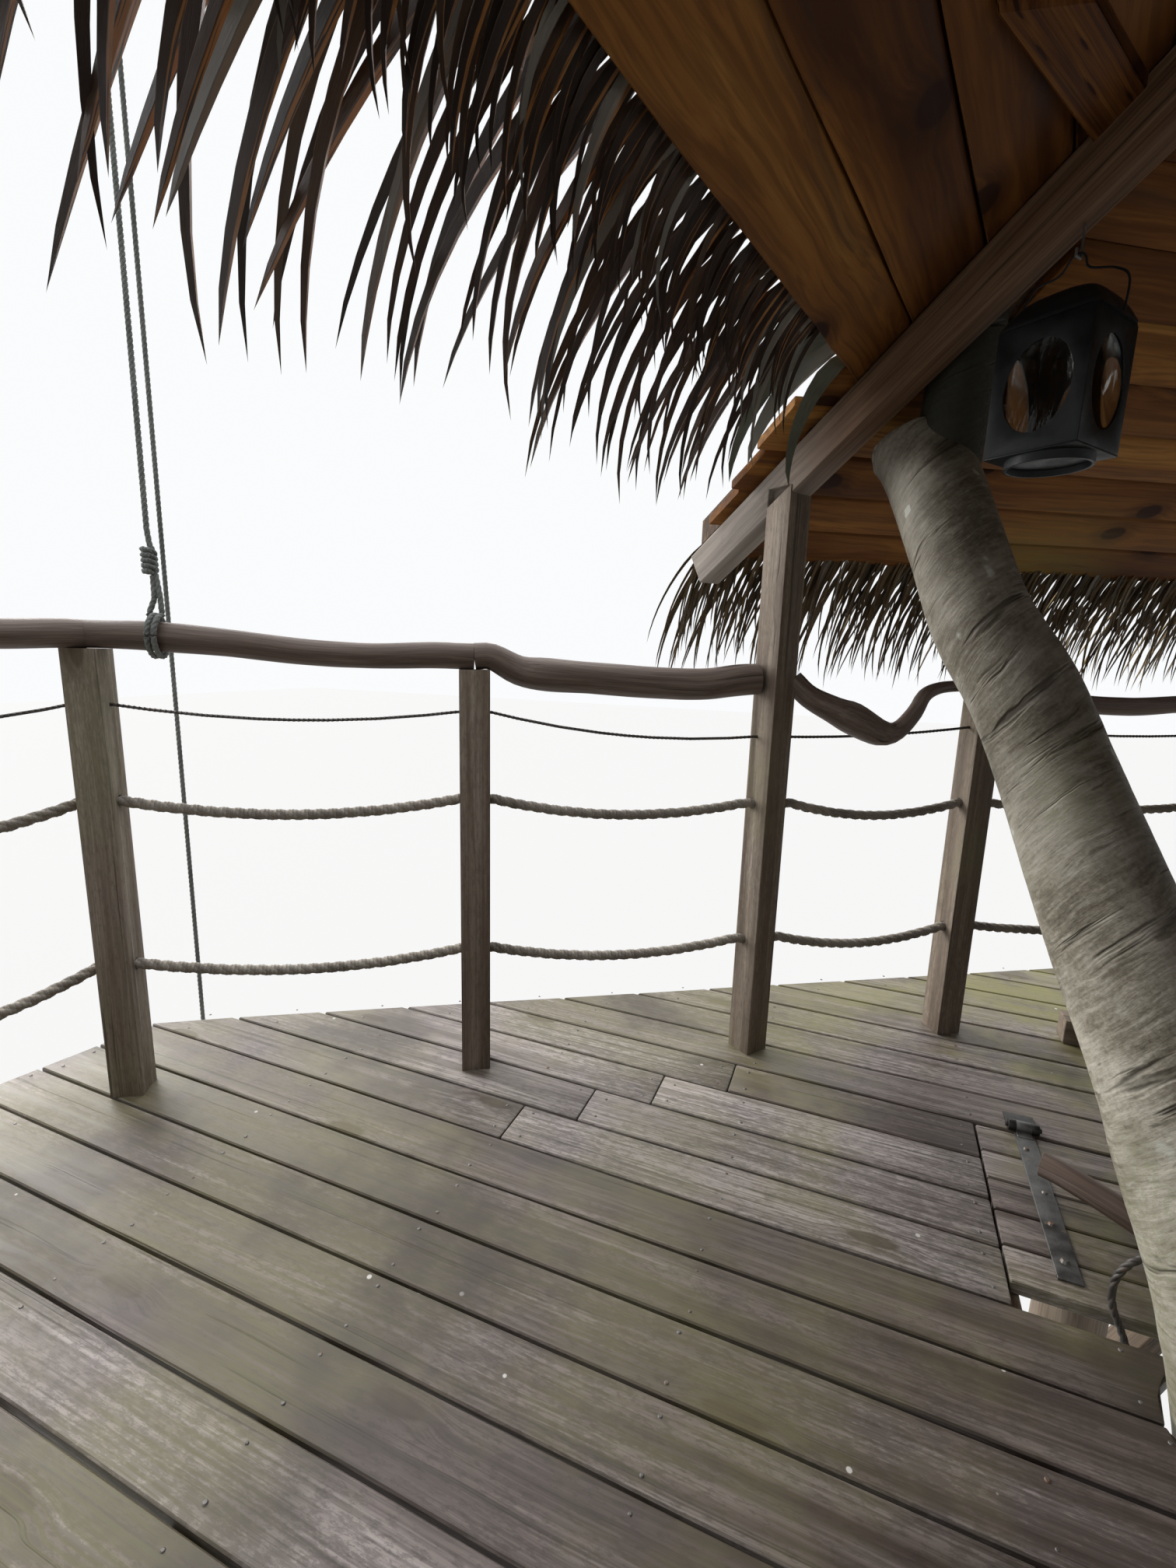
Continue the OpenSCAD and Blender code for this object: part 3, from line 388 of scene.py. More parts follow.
def plank(batch, reach, v0, v1, thick, place, step=0.25, across=1, wobble=0.0012, edge=0.003, tone=None):
    # reach(v) gives where the board starts and ends at v across it; place(u, v, w) puts it in the world
    shift = [random.uniform(0, 9) for axis in range(3)]
    inner = [v0 + edge + (v1 - v0 - 2 * edge) * n / across for n in range(across + 1)]
    section = [(v, 0) for v in inner] + [(v1, -edge), (v1, edge - thick)]
    section += [(v, -thick) for v in reversed(inner)] + [(v0, edge - thick), (v0, -edge)]
    length = max(reach(v)[1] - reach(v)[0] for v in (v0, v1))
    count = max(2, round(length / step))
    shares = [0, edge / length] + [n / count for n in range(1, count)] + [1 - edge / length, 1]
    middle = ((v0 + v1) / 2, -thick / 2)
    verts, grain = [], []
    for i, share in enumerate(shares):
        tip = i in (0, len(shares) - 1)
        for v, w in section:
            start, end = reach(min(max(v, v0 + edge / 2), v1 - edge / 2))
            u = start + (end - start) * share
            if tip:
                v += math.copysign(edge * 0.6, middle[0] - v)
                w += math.copysign(edge * 0.6, middle[1] - w)
            shakeV = wobble * noise.noise(Vector((u * 2.3, shift[0], v * 9)))
            shakeW = wobble * 0.7 * noise.noise(Vector((u * 1.9, shift[1], v * 9)))
            verts.append(place(u, v + shakeV, w + shakeW))
            grain.append((v + shift[0], w + shift[1], u + shift[2]))
    n = len(section)
    faces = ringFaces(len(shares), n)
    faces += [list(range(n))[::-1], [(len(shares) - 1) * n + k for k in range(n)]]
    start = Vector(verts[0])
    ahead, aside, opposite = (Vector(verts[i]) - start for i in (n, 1, n // 2))
    if ahead.cross(aside).dot(opposite) > 0:    # turned inside out by its place
        faces = [face[::-1] for face in faces]
    batch.add(verts, faces, grain, tone)


# Geometry Nodes: a tree with named inputs, run on a mesh or curve and made a plain mesh
class Recipe(Sheet):
    def __init__(self, name, inputs):
        super().__init__(bpy.data.node_groups.new(name, "GeometryNodeTree"))
        face = self.tree.interface
        face.new_socket("Geometry", in_out="INPUT", socket_type="NodeSocketGeometry")
        for label, value in inputs.items():
            kind = "NodeSocketInt" if isinstance(value, int) else "NodeSocketFloat"
            face.new_socket(label, in_out="INPUT", socket_type=kind).default_value = value
        face.new_socket("Geometry", in_out="OUTPUT", socket_type="NodeSocketGeometry")
        self.start = self.tree.nodes.new("NodeGroupInput")

    def given(self, label):
        return Wire(self, self.start.outputs[label])

    def named(self, name, kind="FLOAT"):
        return self.add("GeometryNodeInputNamedAttribute", {"data_type": kind}, {"Name": name})

    def store(self, geometry, name, value, domain="POINT"):
        return self.add("GeometryNodeStoreNamedAttribute", {"data_type": "FLOAT", "domain": domain}, {
            "Geometry": geometry, "Name": name, "Value": value})

    def chance(self, low, high, seed, kind="FLOAT"):
        node = self.tree.nodes.new("FunctionNodeRandomValue")
        node.data_type = kind
        live = [s for s in node.inputs if s.enabled]
        for socket, value in zip(live, (low, high)):
            self.feed(socket, value)
        self.feed(node.inputs["Seed"], seed)
        return Wire(self, [s for s in node.outputs if s.enabled][0])

    def close(self, geometry, finish):
        whole = self.add("GeometryNodeRealizeInstances", {}, {0: geometry})
        painted = self.add("GeometryNodeSetMaterial", {}, {"Geometry": whole, "Material": finish.material})
        end = self.tree.nodes.new("NodeGroupOutput")
        self.feed(end.inputs[0], painted)

    def run(self, source, name, finish, values=None):
        modifier = source.modifiers.new(name, "NODES")
        modifier.node_group = self.tree
        for item in self.tree.interface.items_tree:
            if item.in_out == "INPUT" and item.name in (values or {}):
                modifier[item.identifier] = values[item.name]
        return flatten(source, name, finish)


def pointMesh(name, points, vectors=None, numbers=None):
    mesh = bpy.data.meshes.new(name)
    mesh.from_pydata([tuple(p) for p in points], [], [])
    for label, rows in (vectors or {}).items():
        data = mesh.attributes.new(label, "FLOAT_VECTOR", "POINT").data
        data.foreach_set("vector", np.ravel([tuple(r) for r in rows]))
    for label, rows in (numbers or {}).items():
        mesh.attributes.new(label, "FLOAT", "POINT").data.foreach_set("value", np.ravel(rows))
    obj = bpy.data.objects.new(name, mesh)
    bpy.context.collection.objects.link(obj)
    return obj


def turnTo(side, along):           # Euler turn whose X is side and whose Y is along
    along = along.normalized()
    top = side.cross(along).normalized()
    return Matrix((along.cross(top), along, top)).transposed().to_euler()


# Finishes
def woodFinish(name, look):
    mat = Finish(name)
    grain, tone = mat.attribute("grain"), mat.attribute("tone", "Fac")
    u, v, w = mat.split(grain)
    knots = mat.cells(mat.join(u + v, w * look["knotStretch"], 0), look["knotScale"], "2D")
    knotCore = 1 - mat.band(knots, look["knotSize"] * 0.7, look["knotSize"])
    knotRing = 1 - mat.band(knots, look["knotSize"], look["knotSize"] * 2.1)
    warp = mat.noise(mat.stretch(grain, 1, 1, 0.25), 7, 2)
    bowed = mat.join(u + warp * look["warp"] + knotRing * 0.012, v + warp * look["warp"], w)
    streak = mat.noise(mat.stretch(bowed, 1, 1, 0.035), look["streakScale"], 6, 0.62)
    fibre = mat.noise(mat.stretch(bowed, 1, 1, 0.02), look["streakScale"] * 6, 3, 0.6)
    patch = mat.noise(mat.stretch(grain, 1, 1, 0.3), look["patchScale"], 4, 0.55)
    colour = mat.ramp(streak + (tone - 0.5) * look["toneSpread"] + (patch - 0.5) * look["patchSpread"],
                      look["stops"])
    colour = mat.blend(mat.band(fibre, 0.42, 0.62) * look["fibre"], colour, look["dark"])
    if look.get("grit"):
        grit = mat.noise(mat.stretch(grain, 1, 1, 0.3), 120, 5, 0.75)
        dirt = mat.band(grit + (patch - 0.5) * 0.5, 0.46, 0.6)
        colour = mat.blend(dirt * look["grit"], colour, look["dark"])
    split = mat.noise(mat.stretch(bowed, 1, 1, 0.012), look["streakScale"] * 2.2, 2, 0.5)
    crack = 1 - mat.band(split, 0.3, 0.36)
    colour = mat.blend(crack * look["crack"], colour, look["crackColour"])
    colour = mat.blend(knotRing * look["knotHalo"], colour, look["knotColour"])
    colour = mat.blend(knotCore * look["knotCore"], colour, look["knotColour"])
    if look.get("algae"):
        place = mat.place()
        growth = mat.noise(place, look["algaeScale"], 5, 0.6)
        growth = mat.band(growth, look["algaeFrom"], look["algaeFrom"] + 0.2)
        if look.get("algaeAt"):    # thicker round one spot
            x, y, z = mat.split(place)
            px, py, reach = look["algaeAt"]
            far = ((x - px) ** 2 + (y - py) ** 2) ** 0.5
            growth = growth * (mat.band(far, reach, reach * 0.25) * 0.85 + look.get("algaeRest", 0.35))
        growth = growth * mat.band(fibre, 0.35, 0.6, 0.5, 1)
        colour = mat.blend(growth * look["algae"], colour, look["algaeColour"])
    if look.get("damp"):
        stain = mat.band(mat.noise(mat.place(), 1.7, 4, 0.6), 0.5, 0.66)
        colour = mat.blend(stain * look["damp"], colour, look["dark"])
    if look.get("weather"):            # greyed out of doors, past a distance from the middle
        x, y, z = mat.split(mat.place())
        outside = mat.band((x * x + y * y) ** 0.5, *look["weather"])
        greyed = mat.ramp(streak, [(0.3, (0.16, 0.14, 0.12)), (0.7, (0.42, 0.4, 0.37))])
        colour = mat.blend(outside * 0.75, colour, greyed)
    if look.get("flecks"):
        fleck = 1 - mat.band(mat.cells(mat.place(), 9), 0.035, 0.05)
        colour = mat.blend(fleck * mat.band(patch, 0.5, 0.55) * look["flecks"], colour, (0.7, 0.68, 0.64))
    height = streak * 0.5 + fibre * 0.5 - crack * 0.6 - knotCore * 0.3
    rough = mat.band(streak + patch * 0.4, 0.4, 0.9, look["rough"] - 0.12, look["rough"] + 0.1)
    mat.set(colour=colour, rough=rough, normal=mat.bump(height, look["depth"]),
            specular=look.get("specular", 0.35))
    return mat


plainWood = {"knotStretch": 0.32, "knotScale": 2.6, "knotSize": 0.05, "warp": 0.02, "streakScale": 34,
             "patchScale": 3.2, "toneSpread": 0.35, "patchSpread": 0.3, "fibre": 0.35, "crack": 0.6,
             "crackColour": (0.03, 0.024, 0.018), "knotHalo": 0.25, "knotCore": 0.75, "depth": 0.0012,
             "rough": 0.75}

deckWood = woodFinish("deckWood", plainWood | {
    "stops": [(0.25, (0.06, 0.043, 0.036)), (0.42, (0.14, 0.112, 0.1)), (0.56, (0.25, 0.215, 0.2)),
              (0.75, (0.4, 0.36, 0.34))],
    "dark": (0.035, 0.025, 0.019), "knotColour": (0.04, 0.024, 0.016), "algae": 0.8, "algaeScale": 1.6,
    "algaeFrom": 0.4, "algaeColour": (0.22, 0.21, 0.075), "algaeAt": (0.9, -1.9, 1.6), "algaeRest": 0.4,
    "damp": 0.7, "toneSpread": 0.3, "patchSpread": 0.35, "rough": 0.55, "specular": 0.4, "flecks": 0.8,
    "grit": 0.5, "fibre": 0.55, "streakScale": 30})
postWood = woodFinish("postWood", plainWood | {
    "stops": [(0.2, (0.1, 0.075, 0.055)), (0.45, (0.19, 0.15, 0.115)), (0.65, (0.29, 0.25, 0.2)),
              (0.85, (0.42, 0.38, 0.32))],
    "dark": (0.07, 0.05, 0.036), "knotColour": (0.07, 0.045, 0.03), "algae": 0.4, "algaeScale": 1.6,
    "algaeFrom": 0.5, "algaeColour": (0.2, 0.2, 0.1), "grit": 0.35})
frameWood = woodFinish("frameWood", plainWood | {
    "stops": [(0.2, (0.09, 0.066, 0.047)), (0.5, (0.18, 0.137, 0.1)), (0.8, (0.3, 0.24, 0.18))],
    "dark": (0.05, 0.036, 0.026), "knotColour": (0.06, 0.038, 0.025), "damp": 0.3})
logWood = woodFinish("logWood", plainWood | {
    "stops": [(0.2, (0.1, 0.075, 0.055)), (0.5, (0.2, 0.16, 0.12)), (0.8, (0.33, 0.28, 0.22))],
    "dark": (0.05, 0.036, 0.026), "knotColour": (0.05, 0.034, 0.022), "algae": 0.5, "algaeScale": 1.3,
    "algaeFrom": 0.48, "algaeColour": (0.16, 0.18, 0.07), "knotScale": 3.4, "streakScale": 26,
    "depth": 0.002})
rafterWood = woodFinish("rafterWood", plainWood | {
    "stops": [(0.2, (0.052, 0.027, 0.014)), (0.45, (0.115, 0.064, 0.035)), (0.65, (0.2, 0.125, 0.075)),
              (0.85, (0.32, 0.24, 0.165))],
    "dark": (0.04, 0.02, 0.012), "knotColour": (0.05, 0.026, 0.014), "toneSpread": 0.2,
    "weather": (2.25, 2.6), "specular": 0.15})
ceilingWood = woodFinish("ceilingWood", plainWood | {
    "stops": [(0.22, (0.056, 0.018, 0.004)), (0.42, (0.15, 0.057, 0.013)), (0.6, (0.25, 0.107, 0.025)),
              (0.8, (0.38, 0.19, 0.05))],
    "dark": (0.05, 0.018, 0.006), "knotColour": (0.028, 0.009, 0.004), "knotScale": 3.6,
    "knotStretch": 0.6, "knotSize": 0.1, "knotHalo": 0.45, "knotCore": 0.97, "patchSpread": 0.6,
    "fibre": 0.4, "crack": 0.35, "streakScale": 17, "warp": 0.06, "depth": 0.0007, "rough": 0.62,
    "specular": 0.15, "algae": 0.7, "algaeScale": 1.2, "algaeFrom": 0.3, "algaeColour": (0.25, 0.2, 0.05),
    "algaeAt": (1.45, -2.4, 0.5), "algaeRest": 0.0})
branchWood = woodFinish("branchWood", plainWood | {
    "stops": [(0.2, (0.06, 0.038, 0.03)), (0.45, (0.125, 0.088, 0.07)), (0.65, (0.21, 0.165, 0.14)),
              (0.85, (0.34, 0.29, 0.26))],
    "dark": (0.035, 0.022, 0.018), "knotColour": (0.03, 0.018, 0.014), "knotScale": 5, "streakScale": 60,
    "depth": 0.0018, "rough": 0.6, "crack": 0.85, "patchSpread": 0.45})


stubEnd = (1.738, -1.442, deckTop + 1.748)    # where the trunk's stub is cut off


def barkFinish(name, shade):       # from the stub's end the bark gets browner above and paler below
    mat = Finish(name)
    grain, place = mat.attribute("grain"), mat.place()
    u, v, w = mat.split(grain)
    wave = mat.noise(grain, 6, 3)
    around = mat.join(u, v, w + wave * 0.035 + u * 0.45)
    crease = mat.noise(mat.stretch(around, 0.16, 0.16, 1), 95, 4, 0.65)
    deep = mat.noise(mat.stretch(around, 0.12, 0.12, 1), 22, 3, 0.6, 0.4)
    speckle = mat.noise(place, 130, 3, 0.65)
    patch = mat.noise(place, 5, 4, 0.6)
    colour = mat.ramp((patch - 0.5) * 0.9 + (speckle - 0.5) * 0.35 + (crease - 0.5) * 0.5 + 0.54, [
        (0.3, (0.06, 0.05, 0.034)), (0.45, (0.19, 0.172, 0.13)), (0.58, (0.34, 0.32, 0.262)),
        (0.75, (0.54, 0.51, 0.44))])
    colour = mat.blend(mat.band(crease, 0.55, 0.66) * 0.2, colour, (0.5, 0.48, 0.42))
    fine = 1 - mat.band(mat.noise(mat.stretch(around, 0.2, 0.2, 1), 60, 3, 0.55), 0.3, 0.37)
    colour = mat.blend(fine * 0.6, colour, (0.09, 0.08, 0.06))
    colour = mat.blend(mat.band(deep, 0.6, 0.68) * 0.8, colour, (0.05, 0.042, 0.03))
    px, py, pz = mat.split(mat.shift(place, tuple(-n for n in stubEnd)))
    colour = mat.blend(mat.band(pz + patch * 0.5, -1.1, -0.35) * 0.5, colour, (0.05, 0.038, 0.024))
    moss = mat.band(mat.noise(place, 3.4, 5, 0.6), 0.5, 0.66)
    colour = mat.blend(moss * mat.band(speckle, 0.4, 0.6) * 0.5, colour, (0.16, 0.17, 0.08))
    lichen = mat.band(mat.noise(place, 11, 3, 0.5), 0.68, 0.72)
    colour = mat.blend(lichen * 0.6, colour, (0.5, 0.52, 0.47))
    cut = mat.band((px * px + py * py + pz * pz) ** 0.5 + speckle * 0.03, 0.125, 0.1)
    fresh = mat.ramp(speckle, [(0.35, (0.1, 0.04, 0.025)), (0.65, (0.38, 0.2, 0.14))])
    colour = mat.blend(cut * 0.75, colour, fresh)
    if shade:                          # painted shade: green-black up to the roof, where the limb stands in deep shade
        colour = mat.blend(mat.band(pz, 0.3, 0.42, shade, 0), colour, (0.014, 0.016, 0.009))
    bump = mat.bump(crease, 0.0016)
    bump = mat.bump(1 - mat.band(deep, 0.58, 0.72), 0.006, 0.8, bump)
    mat.set(colour=colour, rough=mat.band(speckle, 0.3, 0.7, 0.55, 0.8),
            normal=mat.bump(speckle, 0.0008, 0.7, bump), specular=0.35)
    return mat


def leafFinish(name, stops, paintedGlowing, glow):
    mat = Finish(name)
    along, across = mat.attribute("leafAlong", "Fac"), mat.attribute("leafAcross", "Fac")
    tone, place = mat.attribute("leafTone", "Fac"), mat.place()
    fibre = mat.noise(mat.join(across * 6 + tone * 40, along * 1.2, tone * 17), 7, 4, 0.6)
    blotch = mat.noise(place, 14, 3, 0.6)
    colour = mat.ramp(fibre * 0.6 + blotch * 0.3 + tone * 0.35 - 0.18, stops)
    # painted light: strips of some blades are blended to the glow colour, a painted glow of sun through the
    # leaves and a painted glint on the grey ones
    paintedLit = mat.noise(mat.join(tone * 61, along * 1.5, across), 3, 2)
    paintedLit = mat.band(paintedLit, 0.5 - paintedGlowing, 0.58 - paintedGlowing) * mat.band(across, 0.02, 0.3)
    colour = mat.blend(paintedLit * (1 - mat.band(along, 0.0, 0.3, 0.7, 0)), colour, glow)
    grey = mat.band(tone, 0.9, 0.95)
    colour = mat.blend(grey * 0.7, colour, (0.3, 0.3, 0.27))
    rim = mat.band(across * across, 0.8, 0.98)
    colour = mat.blend(rim * 0.3, colour, (0.35, 0.27, 0.18))
    mat.set(colour=colour, rough=mat.band(fibre, 0.3, 0.7, 0.32, 0.5), normal=mat.bump(fibre, 0.0012),
            specular=0.45)
    return mat


def thatchFinish(name):
    mat = Finish(name)
    place = mat.place()
    straw = mat.noise(mat.stretch(place, 1, 1, 0.2), 60, 5, 0.65)
    colour = mat.ramp(straw, [(0.3, (0.025, 0.015, 0.009)), (0.5, (0.08, 0.045, 0.024)),
                              (0.7, (0.17, 0.1, 0.05))])
    mat.set(colour=colour, rough=0.8, normal=mat.bump(straw, 0.006))
    return mat


def ropeFinish(name, dark, mid, light):
    mat = Finish(name)
    place = mat.place()
    hair = mat.noise(place, 420, 3, 0.65)
    dirt = mat.noise(place, 9, 4, 0.6)
    colour = mat.ramp(hair * 0.6 + dirt * 0.5 - 0.05, [(0.3, dark), (0.5, mid), (0.75, light)])
    mat.set(colour=colour, rough=0.85, normal=mat.bump(hair, 0.0007))
    return mat


def metalFinish(name, dark, light, rust, rough, metal, rustFrom=0.6, specular=0.5):
    mat = Finish(name)
    place = mat.place()
    cloud = mat.noise(place, 24, 5, 0.62)
    grit = mat.noise(place, 330, 3, 0.6)
    spots = mat.band(mat.noise(place, 42, 5, 0.65), rustFrom, rustFrom + 0.1)
    colour = mat.ramp(cloud * 0.8 + grit * 0.25, [(0.3, dark), (0.75, light)])
    colour = mat.blend(spots * 0.8, colour, rust)
    mat.set(colour=colour, metal=mat.band(spots, 0, 1, metal, metal * 0.2),
            rough=mat.band(cloud, 0.3, 0.7, rough - 0.1, rough + 0.12) + spots * 0.2,
            normal=mat.bump(grit * 0.4 + cloud * 0.6, 0.0006), specular=specular)
    return mat


def paneFinish(name):
    mat = Finish(name)
    smear = mat.noise(mat.place(), 30, 4, 0.6)
    mat.set(colour=(0.93, 0.96, 0.95, 1), clear=1.0, ior=1.3, rough=mat.band(smear, 0.45, 0.7, 0.02, 0.12))
    return mat


bark = barkFinish("bark", 0)
shadeBark = barkFinish("shadeBark", 0.93)
leafSkin = leafFinish("palmLeaf", [
    (0.2, (0.014, 0.008, 0.005)), (0.42, (0.038, 0.02, 0.012)), (0.6, (0.08, 0.042, 0.022)),
    (0.85, (0.2, 0.12, 0.06))], 0.11, (0.5, 0.21, 0.05))
paleSkin = leafFinish("paleLeaf", [
    (0.2, (0.03, 0.022, 0.014)), (0.42, (0.1, 0.07, 0.036)), (0.6, (0.2, 0.14, 0.07)),
    (0.85, (0.42, 0.33, 0.2))], 0.0, (0.5, 0.36, 0.14))
greySkin = leafFinish("greyLeaf", [
    (0.2, (0.03, 0.034, 0.024)), (0.42, (0.09, 0.1, 0.07)), (0.6, (0.17, 0.185, 0.14)),
    (0.85, (0.5, 0.52, 0.47))], -0.1, (0.4, 0.4, 0.33))
roofSkin = leafFinish("roofLeaf", [
    (0.2, (0.05, 0.036, 0.025)), (0.42, (0.13, 0.095, 0.066)), (0.6, (0.24, 0.19, 0.135)),
    (0.85, (0.42, 0.36, 0.28))], -0.1, (0.4, 0.26, 0.12))
thatchCore = thatchFinish("thatchCore")
hemp = ropeFinish("hempRope", (0.09, 0.075, 0.06), (0.24, 0.215, 0.18), (0.46, 0.43, 0.37))
hoistHemp = ropeFinish("hoistRope", (0.07, 0.08, 0.075), (0.17, 0.185, 0.175), (0.33, 0.35, 0.33))
cableSteel = metalFinish("cableSteel", (0.03, 0.027, 0.025), (0.11, 0.1, 0.09), (0.1, 0.045, 0.02),
                         0.55, 0.6)
strapIron = metalFinish("strapIron", (0.06, 0.058, 0.055), (0.2, 0.2, 0.195), (0.2, 0.14, 0.08),
                        0.5, 0.75, 0.62)
barrelIron = metalFinish("barrelIron", (0.015, 0.014, 0.013), (0.05, 0.048, 0.045), (0.1, 0.05, 0.025),
                         0.45, 0.6, 0.66)
nailIron = metalFinish("nailIron", (0.05, 0.045, 0.04), (0.2, 0.19, 0.18), (0.16, 0.08, 0.04),
                       0.5, 0.7, 0.55)
lanternBlack = metalFinish("lanternBlack", (0.006, 0.007, 0.008), (0.018, 0.021, 0.023),
                           (0.035, 0.03, 0.025), 0.5, 0.05, 0.72, 0.22)
pane = paneFinish("lanternPane")
say("finishes")


# Camera: the lens that the lines of posts and boards give
view = {"place": (1.7875, 0.5586, deckTop + 1.2), "focal": 880.0, "frameHeight": 2016.0,
        "right": (-0.9254, -0.378, 0.0271), "down": (-0.0964, 0.1654, -0.9815),
        "ahead": (0.3665, -0.9109, -0.1895)}
lens = bpy.data.cameras.new("camera")
lens.sensor_fit = "VERTICAL"
lens.sensor_height = 24
lens.lens = view["focal"] / view["frameHeight"] * lens.sensor_height
lens.clip_start = 0.02
lens.clip_end = 200
eye = bpy.data.objects.new("camera", lens)
turn = Matrix((view["right"], [-n for n in view["down"]], [-n for n in view["ahead"]])).transposed()
eye.matrix_world = Matrix.Translation(view["place"]) @ turn.to_4x4()
bpy.context.collection.objects.link(eye)
bpy.context.scene.camera = eye


# Deck boards, cut to the terrace's outline, the hatch and the trunk
deck = {"halfLength": 3.5, "halfWidth": 2.68, "cornerLength": 0.7, "cornerWidth": 0.72, "pitch": 0.142,
        "gap": 0.007, "thick": 0.028, "hatch": (0.806, 1.421, -1.340, -0.772),
        "trunk": (1.076, -0.640, 0.153), "endGap": 0.004, "longest": 3.9, "shortest": 1.5, "butt": 0.0005,
        "rows": 60, "before": 4.4, "wobble": 0.0022, "crumb": 0.12}
nailing = {"fromEnd": 0.035, "fromMiddle": 0.042, "shakeAlong": 0.008, "shakeAcross": 0.006, "clear": 0.2,
           "joists": [0.79 - 0.56 * n for n in range(9)] + [1.43 + 0.56 * n for n in range(5)]}


def deckOutline():
    l, w, cl, cw = deck["halfLength"], deck["halfWidth"], deck["cornerLength"], deck["cornerWidth"]
    quarter = [(l, w - cw), (l - cl, w)]
    points = quarter + [(-x, y) for x, y in reversed(quarter)]
    points += [(-x, -y) for x, y in points]
    return [houseToWorld(x, y).xy for x, y in points]


def outlineReach(y):               # where a line across the outline at y starts and ends
    corners = deckOutline()
    crossings = []
    for a, b in zip(corners, corners[1:] + corners[:1]):
        if (a.y - y) * (b.y - y) < 0:
            crossings.append(a.x + (b.x - a.x) * (y - a.y) / (b.y - a.y))
    return (min(crossings), max(crossings)) if len(crossings) > 1 else None


def cutPlaces(start, end):         # butt joints of a row, over the joists
    places, x = [], start
    while end - x > deck["longest"]:
        x += random.uniform(deck["shortest"], deck["longest"])
        if end - x < deck["shortest"] * 0.6:
            break
        places.append(x)
    return places


def deckPlace(u, v, w):
    return Vector((u, v, deckTop + w))


def buildDeck():
    batch = Batch()
    x0, x1, y0, y1 = deck["hatch"]
    cx, cy, radius = deck["trunk"]
    nails = []
    for row in range(-int((y0 + deck["before"]) / deck["pitch"]), deck["rows"]):
        low = y0 + row * deck["pitch"] + deck["gap"] / 2
        high = low + deck["pitch"] - deck["gap"]
        spans = [outlineReach(y) for y in (low, high)]
        if None in spans:
            continue
        ends = (max(s[0] for s in spans), min(s[1] for s in spans))
        hatchRow = low > y0 - 0.001 and high < y1 + 0.001
        trunkRow = not hatchRow and abs((low + high) / 2 - cy) < radius - 0.03
        stops = [(None, p) for p in cutPlaces(*ends)]
        if hatchRow:
            stops = [(None, ends[0] + (x0 - ends[0]) * 0.45), ("hatch", None),
                     (None, x1 + (ends[1] - x1) * random.uniform(0.4, 0.7))]
        elif trunkRow:
            stops = [(None, ends[0] + 1.9), ("trunk", None)]
        pieces, start = [], lambda v: outlineReach(v)[0]
        for kind, x in stops:
            if kind == "hatch":
                pieces.append((start, lambda v: x0 - deck["butt"]))
                start = lambda v: x1 + deck["butt"]
            elif kind == "trunk":
                chord = lambda v: math.sqrt(max(0, radius ** 2 - (v - cy) ** 2))
                pieces.append((start, lambda v: cx - chord(v)))
                start = lambda v: cx + chord(v)
            else:
                pieces.append((start, lambda v, x=x: x - deck["endGap"] / 2))
                start = lambda v, x=x: x + deck["endGap"] / 2
        pieces.append((start, lambda v: outlineReach(v)[1]))
        for first, last in pieces:
            middle = (low + high) / 2
            if last(middle) - first(middle) < deck["crumb"]:
                continue
            plank(batch, lambda v: (first(v), last(v)), low, high, deck["thick"], deckPlace,
                  across=6 if trunkRow else 1, wobble=deck["wobble"])
            a, b = first(middle) + nailing["fromEnd"], last(middle) - nailing["fromEnd"]
            inner = [x for x in nailing["joists"] if a + nailing["clear"] < x < b - nailing["clear"]]
            for x in [a, b] + inner:
                for side in (-1, 1):
                    along = x + random.uniform(-nailing["shakeAlong"], nailing["shakeAlong"])
                    shake = random.uniform(-nailing["shakeAcross"], nailing["shakeAcross"])
                    nails.append((along, middle + side * (nailing["fromMiddle"] + shake)))
    return batch, nails


nailShape = {"Radius": 0.0042, "Height": 0.0016, "Seed": 3}


def nailRecipe(finish):
    sheet = Recipe("nailHeads", nailShape)
    head = sheet.add("GeometryNodeMeshCone", {"fill_type": "NGON"}, {
        "Vertices": 8, "Radius Top": sheet.given("Radius") * 0.6, "Radius Bottom": sheet.given("Radius"),
        "Depth": sheet.given("Height")})
    size = sheet.chance(0.8, 1.15, sheet.given("Seed"))
    placed = sheet.add("GeometryNodeInstanceOnPoints", {}, {
        "Points": sheet.given("Geometry"), "Instance": head,
        "Rotation": sheet.named("facing", "FLOAT_VECTOR"),
        "Scale": sheet.join(size, size, size)})
    sheet.close(placed, finish)
    return sheet


nailTree = nailRecipe(nailIron)
deckBatch, deckNails = buildDeck()
deckBoards = deckBatch.build("deckBoards", deckWood)
hand(deckBoards, "house", "deck_wood", "deck_far", "deck_near", "deck_left", "deck_right")
heads = pointMesh("deckNailPoints", [(x, y, deckTop) for x, y in deckNails],
                  {"facing": [(0, 0, 0)] * len(deckNails)})
hand(nailTree.run(heads, "deckNails", nailIron), "house", "iron")
say("deck")

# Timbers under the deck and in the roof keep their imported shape, with worn edges
timbers = {"frame_wood": frameWood, "post_wood": postWood, "rafter_wood": rafterWood}
for node, slot, width in (
        ("main_beams", "frame_wood", 0.004), ("joists", "frame_wood", 0.003),
        ("hatch_trimmers", "frame_wood", 0.003), ("knee_braces", "frame_wood", 0.004),
        ("hatch_cleats", "frame_wood", 0.003), ("roof_posts", "post_wood", 0.003),
        ("rail_posts", "post_wood", 0.003), ("hip_rafters", "rafter_wood", 0.003),
        ("roof_hub", "rafter_wood", 0.004), ("tie_block", "post_wood", 0.003)):
    soften(node, timbers[slot], "hatch" if node == "hatch_cleats" else "house", slot, width)
say("timbers")


